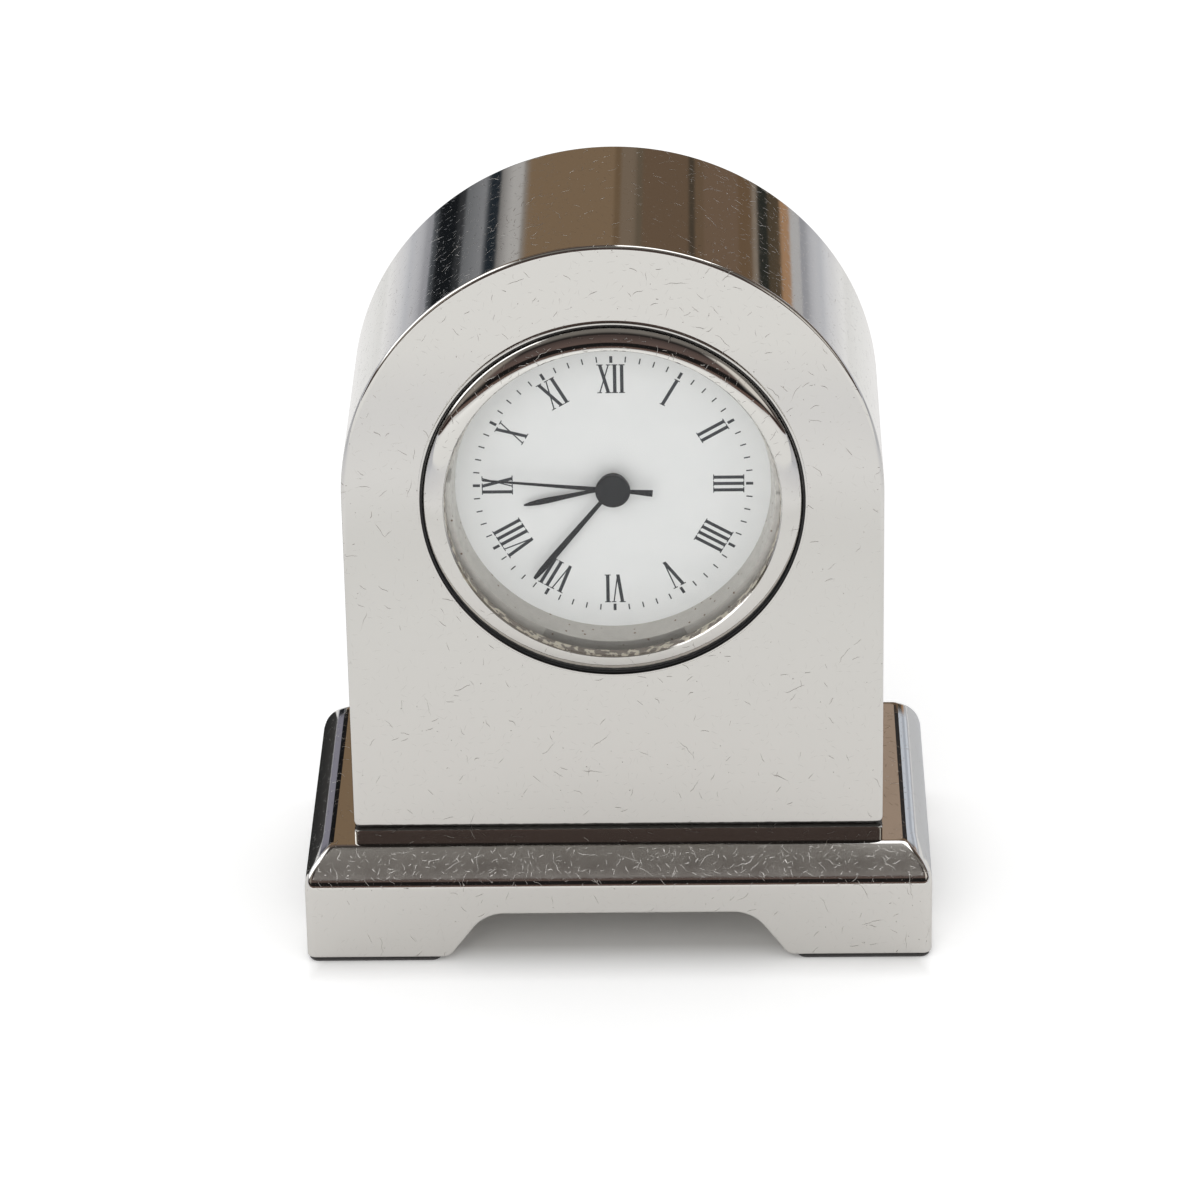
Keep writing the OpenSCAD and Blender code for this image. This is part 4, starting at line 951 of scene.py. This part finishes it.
piece("hour_leaf", [hour_leaf, boss(hour_level, hour_pipe_r)], hand_lacquer,
      "hour_work", ["hour_hand"])
piece("minute_leaf", [minute_leaf, boss(minute_level, minute_pipe_r)], hand_lacquer,
      "minute_work", ["minute_hand"])
piece("seconds_needle_and_cap", [needle, turned(cap_line, steps=128)], hand_lacquer,
      "second_work", ["second_hand"])

# Rubber band: a moulded black band with four ribs, stretched into the groove of the insert's body.
# It grips the bore when the insert is pushed in.
cover_back = 11.1
band_front = skirt_l + 0.8
band_back = cover_back - 1.4
band_in = insert_r - 0.6
rib_r = bore_r - 0.05


def black_rubber():
    """Moulded rubber: dull black with a mottled bloom of dust."""
    material, tree, output, place = finish("moulded_black_rubber")
    dust = add(tree, "ShaderNodeTexNoise",
               {"Vector": place, "Scale": 1.5, "Detail": 5.0, "Roughness": 0.7})
    tone = add(tree, "ShaderNodeMix",
               {"Factor": dust.outputs[0], "A": linear("#141414"), "B": linear("#333231")},
               data_type="RGBA")
    bump = add(tree, "ShaderNodeBump",
               {"Height": dust.outputs[0], "Strength": 0.4, "Distance": 0.05 * MM})
    shader = add(tree, "ShaderNodeBsdfPrincipled", {
        "Base Color": tone.outputs["Result"], "Roughness": 0.7, "Normal": bump.outputs[0]})
    tree.links.new(shader.outputs[0], output.inputs[0])
    return material


rib = (band_back - band_front) / 4
along = np.linspace(0, 4, 81)
crown = insert_r + 0.1 + (rib_r - insert_r - 0.1) * np.sqrt(abs(np.sin(np.pi * along)))
band_line = np.concatenate([np.column_stack([crown, band_front + rib * along]),
                            [[band_in, band_back], [band_in, band_front]]])
piece("ribbed_rubber_band", [turned(band_line, steps=192)], black_rubber(), "insert",
      ["grip_band"])

# Movement mouldings: the cup behind the dial, its back cover and the hatch, knob and plates are
# injection moulded in pale plastics. They have a fine spark-eroded grain.
def moulded_plastic(name, light, dark, rough, grain):
    """Moulded plastic: one colour with a slow drift, and a grain of that size in millimetres in the
    gloss and bump."""
    material, tree, output, place = finish(name)
    drift = add(tree, "ShaderNodeTexNoise", {"Vector": place, "Scale": 0.2, "Detail": 3.0})
    spark = add(tree, "ShaderNodeTexNoise", {"Vector": place, "Scale": 1 / grain, "Detail": 2.0})
    tone = add(tree, "ShaderNodeMix", {"Factor": drift.outputs[0], "A": linear(light), "B": linear(dark)},
               data_type="RGBA")
    dull = add(tree, "ShaderNodeMapRange",
               {"Value": spark.outputs[0], "To Min": rough * 0.85, "To Max": rough * 1.2})
    bump = add(tree, "ShaderNodeBump",
               {"Height": spark.outputs[0], "Strength": 0.3, "Distance": 0.03 * MM})
    shader = add(tree, "ShaderNodeBsdfPrincipled", {
        "Base Color": tone.outputs["Result"], "Roughness": dull.outputs[0], "Normal": bump.outputs[0]})
    tree.links.new(shader.outputs[0], output.inputs[0])
    return material


dress(moulded_plastic("moulded_ivory_abs", "#e3dfd2", "#d2cdbd", 0.5, 0.25), "movement_housing",
      "back_cover")
dress(moulded_plastic("moulded_tan_acetal", "#cfc6ac", "#bbb196", 0.45, 0.25), "train_plate")
dress(moulded_plastic("moulded_white_abs", "#dedcd4", "#c9c7be", 0.42, 0.2), "battery_hatch",
      "setting_knob")

# Wheels: moulded in cream acetal, all but the centre wheel, which is brass. Acetal is waxy, so it
# has a soft gloss and no visible grain.
dress(moulded_plastic("moulded_cream_acetal", "#e8e3d0", "#d8d2bb", 0.32, 0.4),
      "seconds_wheel", "third_wheel", "intermediate_wheel", "cannon_pinion", "hour_wheel", "motion_wheel")

# Sheet brass: the bridge, the centre wheel, the spring washer and the battery's contacts, blanked
# and left bare.
dress(turned_metal("blanked_brass", "#d8b468", "#b08c46", 0.3, 0.3),
      "train_bridge", "centre_wheel", "hour_washer", "battery_spring", "battery_strap")

# Motor: a stator and a core of soft iron, a magnet on the rotor's arbor, and a coil of enamelled
# copper wire.
dress(turned_metal("blanked_soft_iron", "#84868a", "#5f6165", 0.38, 0.25), "stator", "coil_core", "rotor")
wave_length = 0.314  # after which a wave texture of scale 1 repeats
wire_t = 0.16


def copper_coil():
    """Enamelled copper wire, wound along X. The real wire is 0.03 mm thick, and is drawn thicker so
    that it shows. Each turn runs from dark in the groove between turns to bright on its crown, which
    is painted shade."""
    material, tree, output, place = finish("enamelled_copper_winding")
    turns = add(tree, "ShaderNodeTexWave",
                {"Vector": place, "Scale": wave_length / wire_t, "Distortion": 0.4, "Detail": 1.0},
                bands_direction="X")
    # Painted shade: dark in the grooves between turns, bright on their crowns.
    tone = add(tree, "ShaderNodeMix",
               {"Factor": turns.outputs[1], "A": linear("#5f2a12"), "B": linear("#c06a34")},
               data_type="RGBA")
    bump = add(tree, "ShaderNodeBump",
               {"Height": turns.outputs[1], "Strength": 0.7, "Distance": 0.06 * MM})
    shader = add(tree, "ShaderNodeBsdfPrincipled", {
        "Base Color": tone.outputs["Result"], "Metallic": 0.85, "Roughness": 0.3,
        "Normal": bump.outputs[0]})
    tree.links.new(shader.outputs[0], output.inputs[0])
    return material


dress(copper_coil(), "coil_winding")

# Electrics: a green board with copper tracks under its varnish, a drop of resin over the chip, the
# crystal's tin and the button cell, both nickel-plated.
track_step = 1.3


def printed_board():
    """Glass-fibre board under green varnish: paler lines where the copper tracks run, at even
    steps."""
    material, tree, output, place = finish("green_circuit_board")
    bent = add(tree, "ShaderNodeTexWave", {
        "Vector": place, "Scale": wave_length / track_step, "Distortion": 2.2, "Detail": 0.0,
        "Detail Scale": 0.6}, bands_direction="Z")
    track = add(tree, "ShaderNodeMapRange",
                {"Value": bent.outputs[1], "From Min": 0.72, "From Max": 0.78})
    tone = add(tree, "ShaderNodeMix",
               {"Factor": track.outputs[0], "A": linear("#0f4a2b"), "B": linear("#2c7a45")},
               data_type="RGBA")
    bump = add(tree, "ShaderNodeBump",
               {"Height": track.outputs[0], "Strength": 0.5, "Distance": 0.035 * MM})
    shader = add(tree, "ShaderNodeBsdfPrincipled", {
        "Base Color": tone.outputs["Result"], "Roughness": 0.28, "Normal": bump.outputs[0]})
    tree.links.new(shader.outputs[0], output.inputs[0])
    return material


dress(printed_board(), "circuit_board")
dress(moulded_plastic("black_resin_drop", "#0c0c0d", "#1c1b1b", 0.2, 0.3), "chip_cover")
dress(turned_metal("nickel_plated_steel", "#c9c8c4", "#a9a8a4", 0.2, 0.2), "quartz_can", "battery_cell")

# Studio: a large table, pale near the clock and greyer further off, with a plain white surround for
# the eye and for soft light. What the polished metal shows is the room round it, as bands of
# colour.
table_size = 12
tone_reach = 1600
shade_side, shade_front, shade_back = (27.0, 30.0), (-14.0, -21.0), (14.0, 17.0)
bpy.ops.mesh.primitive_plane_add(size=table_size)
table = bpy.context.active_object
table.name = "table"
table_paint, tree, output, place = finish("pale_table")
part = add(tree, "ShaderNodeSeparateXYZ", {0: place}).outputs
ahead = add(tree, "ShaderNodeMath", {0: part["Y"], 1: 0.0}, operation="MINIMUM").outputs[0]
flat = add(tree, "ShaderNodeCombineXYZ", {0: part["X"], 1: ahead}).outputs[0]
away = add(tree, "ShaderNodeVectorMath", {0: flat}, operation="LENGTH").outputs["Value"]
tone = ramp(tree, away, 0, tone_reach, [
    (20, "#eeedec"), (32, "#f1f0ef"), (45, "#f8f7f6"), (80, "#f6f6f5"), (104, "#f1f1f0"),
    (118, "#fafafa"), (150, "#eeeef0"), (195, "#e5e6ea"), (250, "#d0d2d8"), (330, "#d2d3d8"),
    (500, "#c5c6cc"), (750, "#adaeb4"), (1500, "#a8a9b0")])
# The eye sees it white, with a painted shadow under the base, where it is darker and its own
# light is held back.
seen = add(tree, "ShaderNodeLightPath").outputs["Is Camera Ray"]
front = add(tree, "ShaderNodeMapRange",
            {"Value": part["Y"], "From Min": -132.0, "From Max": -150.0}).outputs[0]
tone = add(tree, "ShaderNodeMix", {"Factor": front, "A": tone["Color"], "B": linear("#fbfbfa")},
           data_type="RGBA")
sideways = add(tree, "ShaderNodeMath", {0: part["X"]}, operation="ABSOLUTE").outputs[0]
beside = add(tree, "ShaderNodeMapRange",
             {"Value": sideways, "From Min": shade_side[0], "From Max": shade_side[1]}).outputs[0]
before = add(tree, "ShaderNodeMapRange",
             {"Value": part["Y"], "From Min": shade_front[0], "From Max": shade_front[1]}).outputs[0]
past = add(tree, "ShaderNodeMapRange",
           {"Value": part["Y"], "From Min": shade_back[0], "From Max": shade_back[1]}).outputs[0]
clear = add(tree, "ShaderNodeMath", {0: beside, 1: before}, operation="MAXIMUM").outputs[0]
clear = add(tree, "ShaderNodeMath", {0: clear, 1: past}, operation="MAXIMUM").outputs[0]
# The painted shadow's colour under the base.
plain = add(tree, "ShaderNodeMix", {"Factor": clear, "A": linear("#d6d5d3"), "B": linear("#ffffff")},
            data_type="RGBA")
tone = add(tree, "ShaderNodeMix",
           {"Factor": seen, "A": tone.outputs["Result"], "B": plain.outputs["Result"]}, data_type="RGBA")
lift = add(tree, "ShaderNodeMath", {0: seen, 1: 0.16}, operation="MULTIPLY").outputs[0]
lift = add(tree, "ShaderNodeMath", {0: lift, 1: clear}, operation="MULTIPLY").outputs[0]
shader = add(tree, "ShaderNodeBsdfPrincipled", {
    "Base Color": tone.outputs["Result"], "Roughness": 0.9, "Specular IOR Level": 0.0,
    "Emission Color": linear("#ffffff"), "Emission Strength": lift})
tree.links.new(shader.outputs[0], output.inputs[0])
table.data.materials.append(table_paint)


def bands(tree, value, stops):
    """Bands of colour over angles in degrees from -180 to 180: each stop gives where a band starts
    and its colour as the plate shows it. A pair of colours fades from one to the other up to the
    next stop."""
    keys = []
    for i, (start, *colours) in enumerate(stops):
        end = stops[i + 1][0] if i + 1 < len(stops) else 180
        keys += [(start + 0.12, colours[0]), (end - 0.12, colours[-1])]
    angle = add(tree, "ShaderNodeMath", {0: value}, operation="DEGREES").outputs[0]
    shown = ramp(tree, angle, -180, 180, keys)["Color"]
    plate = linear("#dad8d4")
    return add(tree, "ShaderNodeMix", {"Factor": 1.0, "A": shown, "B": plate}, data_type="RGBA",
               blend_type="DIVIDE", clamp_result=False).outputs["Result"]


def within(tree, value, low, high, soft):
    """1 where a value lies between two limits and 0 outside them, with soft ends."""
    after = add(tree, "ShaderNodeMapRange",
                {"Value": value, "From Min": low - soft, "From Max": low + soft}).outputs[0]
    before = add(tree, "ShaderNodeMapRange",
                 {"Value": value, "From Min": high + soft, "From Max": high - soft})
    return add(tree, "ShaderNodeMath", {0: after, 1: before.outputs[0]}, operation="MULTIPLY").outputs[0]


world = bpy.data.worlds.new("studio")
bpy.context.scene.world = world
world.use_nodes = True
tree = world.node_tree
tree.nodes.clear()
ray = add(tree, "ShaderNodeLightPath").outputs
way = add(tree, "ShaderNodeTexCoord").outputs["Generated"]
part = add(tree, "ShaderNodeSeparateXYZ", {0: way}).outputs

# Roll is a direction's angle from straight up towards the right, and pitch from straight up towards
# the front.
roll = add(tree, "ShaderNodeMath", {0: part["X"], 1: part["Z"]}, operation="ARCTAN2").outputs[0]
ahead = add(tree, "ShaderNodeMath", {0: part["Y"], 1: -1.0}, operation="MULTIPLY").outputs[0]
pitch = add(tree, "ShaderNodeMath", {0: ahead, 1: part["Z"]}, operation="ARCTAN2").outputs[0]
pitch_degrees = add(tree, "ShaderNodeMath", {0: pitch}, operation="DEGREES").outputs[0]
turned_right = add(tree, "ShaderNodeMath", {0: part["X"], 1: 0.0}, operation="GREATER_THAN").outputs[0]

# Behind the clock: dark and brown bands, which the arch's top shows.
left = bands(tree, roll, [
    (-180, "#66686a"), (-90.5, "#404244"), (-88.3, "#141618"), (-76, "#2e2f30"),
    (-72.5, "#5d5e5f", "#79797a"), (-60.5, "#1d2328"), (-54.5, "#6b6865", "#9d9a96"),
    (-48, "#9d9a96"), (-43.3, "#7b756e"), (-40.8, "#715e49"), (-1, "#62503c"), (2, "#6b5d4e")])
right = bands(tree, roll, [
    (-180, "#62503c"), (2.5, "#6b5d4e"), (8.5, "#594e40"), (12, "#5d4c3c"), (32.6, "#40382e"),
    (35.4, "#5e4d3c"), (40, "#645242"), (57, "#5f4c39"), (64.6, "#7a6f63"), (67, "#262723"),
    (73, "#463c2f"), (79, "#937356"), (84.6, "#a09e9c")])
behind = add(tree, "ShaderNodeMix", {"Factor": turned_right, "A": left, "B": right}, data_type="RGBA")

# Overhead and in front: dark in the middle, brown round it and pale walls further down.
above = bands(tree, pitch, [
    (-180, "#c6c8cd"), (-90, "#c6c8cd"), (-64, "#6f5b47"), (-48, "#5f5249"), (-30, "#4a4440", "#1f1c1a"),
    (0, "#1f1c1a"), (46, "#1f1c1a", "#2f2826"), (58, "#443a36"), (65, "#4a3f3b", "#5c4d47"),
    (78, "#191716"), (87, "#5d4c44"), (90.5, "#c6c8cd")])
at_back = add(tree, "ShaderNodeMapRange",
              {"Value": part["Y"], "From Min": 0.74, "From Max": 0.84}).outputs[0]
room = add(tree, "ShaderNodeMix", {"Factor": at_back, "A": above, "B": behind.outputs["Result"]},
           data_type="RGBA").outputs["Result"]

# A ring of directions behind the clock that the sides of the base show.
low_left = bands(tree, roll, [
    (-180, "#0a0a0b"), (-90.5, "#77757e"), (-67.5, "#141415"), (-14, "#715e49"), (-1, "#62503c")])
low_right = bands(tree, roll, [
    (-180, "#62503c"), (2.4, "#917f6f"), (10, "#2b2928"), (58, "#b4b8be"), (76, "#9ea2a8"),
    (84, "#bcc0c5")])
low_behind = add(tree, "ShaderNodeMix", {"Factor": turned_right, "A": low_left, "B": low_right},
                 data_type="RGBA").outputs["Result"]
to_base = within(tree, part["Y"], 0.855, 0.8955, 0.002)
room = add(tree, "ShaderNodeMix", {"Factor": to_base, "A": room, "B": low_behind},
           data_type="RGBA").outputs["Result"]

# A warm haze in front and overhead, which only a first reflection shows.
haze = bands(tree, roll, [(-180, "#6c6761")])
hazy = add(tree, "ShaderNodeMath", {0: ray["Glossy Depth"], 1: 1.5}, operation="LESS_THAN").outputs[0]
for zone in (within(tree, pitch_degrees, -4, 38, 10), within(tree, part["Y"], -0.8, 0.1, 0.02)):
    hazy = add(tree, "ShaderNodeMath", {0: hazy, 1: zone}, operation="MULTIPLY").outputs[0]
room = add(tree, "ShaderNodeMix", {"Factor": hazy, "A": room, "B": haze},
           data_type="RGBA").outputs["Result"]

# Pale ground low in front, far to the left and far to the right.
flank = add(tree, "ShaderNodeMix",
            {"Factor": turned_right, "A": bands(tree, roll, [(-180, "#857d74")]),
             "B": bands(tree, roll, [(-180, "#c9c3ba")])}, data_type="RGBA").outputs["Result"]
aside = add(tree, "ShaderNodeMath", {0: part["X"]}, operation="ABSOLUTE").outputs[0]
in_flank = within(tree, aside, 0.6, 2.0, 0.06)
for zone in (within(tree, part["Z"], 0.12, 0.6, 0.04), within(tree, part["Y"], -2.0, -0.36, 0.05)):
    in_flank = add(tree, "ShaderNodeMath", {0: in_flank, 1: zone}, operation="MULTIPLY").outputs[0]
room = add(tree, "ShaderNodeMix", {"Factor": in_flank, "A": room, "B": flank},
           data_type="RGBA").outputs["Result"]

# Two white lamps that only the metal shows: a narrow one overhead on the right, and one on the left.
lamp_white = (2.2, 2.2, 2.2, 1)
over_right = add(tree, "ShaderNodeMath", {0: within(tree, part["X"], 0.022, 0.5, 0.006),
                                          1: within(tree, pitch_degrees, -40, -5, 3)},
                 operation="MULTIPLY").outputs[0]
on_left = within(tree, part["X"], -1.2, -0.5, 0.05)
for zone in (within(tree, part["Z"], 0.2, 0.88, 0.05), within(tree, part["Y"], -0.18, 0.55, 0.06)):
    on_left = add(tree, "ShaderNodeMath", {0: on_left, 1: zone}, operation="MULTIPLY").outputs[0]
lit = add(tree, "ShaderNodeMath", {0: over_right, 1: on_left}, operation="MAXIMUM").outputs[0]
room = add(tree, "ShaderNodeMix", {"Factor": lit, "A": room, "B": lamp_white},
           data_type="RGBA").outputs["Result"]

# Metal and glass show the room. The eye sees plain white, and everything matt is lit by a little less.
shiny = add(tree, "ShaderNodeMath", {0: ray["Is Glossy Ray"], 1: ray["Is Transmission Ray"]},
            operation="MAXIMUM")
direct = add(tree, "ShaderNodeMath", {0: ray["Diffuse Depth"], 1: 0.5}, operation="LESS_THAN")
shiny = add(tree, "ShaderNodeMath", {0: shiny.outputs[0], 1: direct.outputs[0]}, operation="MULTIPLY")
white = add(tree, "ShaderNodeMath", {0: ray["Is Camera Ray"], 1: 0.12, 2: 0.88},
            operation="MULTIPLY_ADD").outputs[0]
plain = add(tree, "ShaderNodeCombineColor", {0: white, 1: white, 2: white})
seen = add(tree, "ShaderNodeMix", {"Factor": shiny.outputs[0], "A": plain.outputs[0], "B": room},
           data_type="RGBA")
light = add(tree, "ShaderNodeBackground", {"Color": seen.outputs["Result"], "Strength": 1.0})
tree.links.new(light.outputs[0], add(tree, "ShaderNodeOutputWorld").inputs[0])


def soft_lamp(name, place, aim, size, watts):
    """A square soft box at a place in metres, facing a point, that polished metal doesn't show."""
    lamp = bpy.data.lights.new(name, "AREA")
    lamp.size, lamp.energy = size, watts
    made = bpy.data.objects.new(name, lamp)
    made.matrix_world = (Matrix.Translation(place)
                         @ (Vector(aim) - Vector(place)).to_track_quat("-Z", "Y").to_matrix().to_4x4())
    made.visible_glossy = False
    bpy.context.scene.collection.objects.link(made)


soft_lamp("key", (-0.25, -1.1, 0.75), (0, 0, 0.03), 0.7, 3.2)

# Two cards on the table, one dark on the left and one pale on the right, which the sides of the base
# and the case show.
card_level = 0.4


def floor_card(name, code, corners):
    """A flat card just above the table, given by its corners, that only mirrors see. It stands for
    what was beside the clock."""
    mesh = bpy.data.meshes.new(name)
    points = [(x * MM, y * MM, card_level * MM) for x, y in corners]
    mesh.from_pydata(points, [], [tuple(range(len(corners)))])
    paint, tree, output, _ = finish(name)
    shader = add(tree, "ShaderNodeBsdfPrincipled", {"Base Color": linear(code), "Roughness": 0.9})
    tree.links.new(shader.outputs[0], output.inputs[0])
    mesh.materials.append(paint)
    made = bpy.data.objects.new(name, mesh)
    bpy.context.scene.collection.objects.link(made)
    made.visible_camera = made.visible_diffuse = made.visible_shadow = made.visible_transmission = False


floor_card("black_card", "#181a1a", [
    (-31, -3), (-47, 14), (-67, 48), (-105, 115), (-173, 238), (-320, 500),
    (-320, 590), (-173, 303), (-105, 170), (-67, 98), (-47, 62), (-31, 42)])
floor_card("pale_card", "#d6d8dc", [(31, -5), (60, 38), (120, 160), (120, 210), (60, 103), (31, 55)])

# Camera: where the photograph was taken from, with its tilt and slight roll.
camera_at = Vector((9.64, -491.1, 273.4)) * MM
focal_length = 170.62
yaw, pitch_down, tilt = (math.radians(angle) for angle in (-1.31, 26.34, -1.08))
forward = Vector((math.sin(yaw) * math.cos(pitch_down), math.cos(yaw) * math.cos(pitch_down),
                  -math.sin(pitch_down)))
level_right = Vector((math.cos(yaw), -math.sin(yaw), 0))
level_up = level_right.cross(forward)
axis_right = level_right * math.cos(tilt) + level_up * math.sin(tilt)
axis_up = level_up * math.cos(tilt) - level_right * math.sin(tilt)
camera = bpy.data.objects.new("camera", bpy.data.cameras.new("camera"))
camera.data.sensor_fit = "HORIZONTAL"
camera.data.sensor_width = 36
camera.data.lens = focal_length
camera.data.clip_end = 50
camera.matrix_world = Matrix.Translation(camera_at) @ Matrix(
    (axis_right, axis_up, -forward)).transposed().to_4x4()
bpy.context.scene.collection.objects.link(camera)
bpy.context.scene.camera = camera
bpy.context.scene.view_settings.view_transform = "Standard"
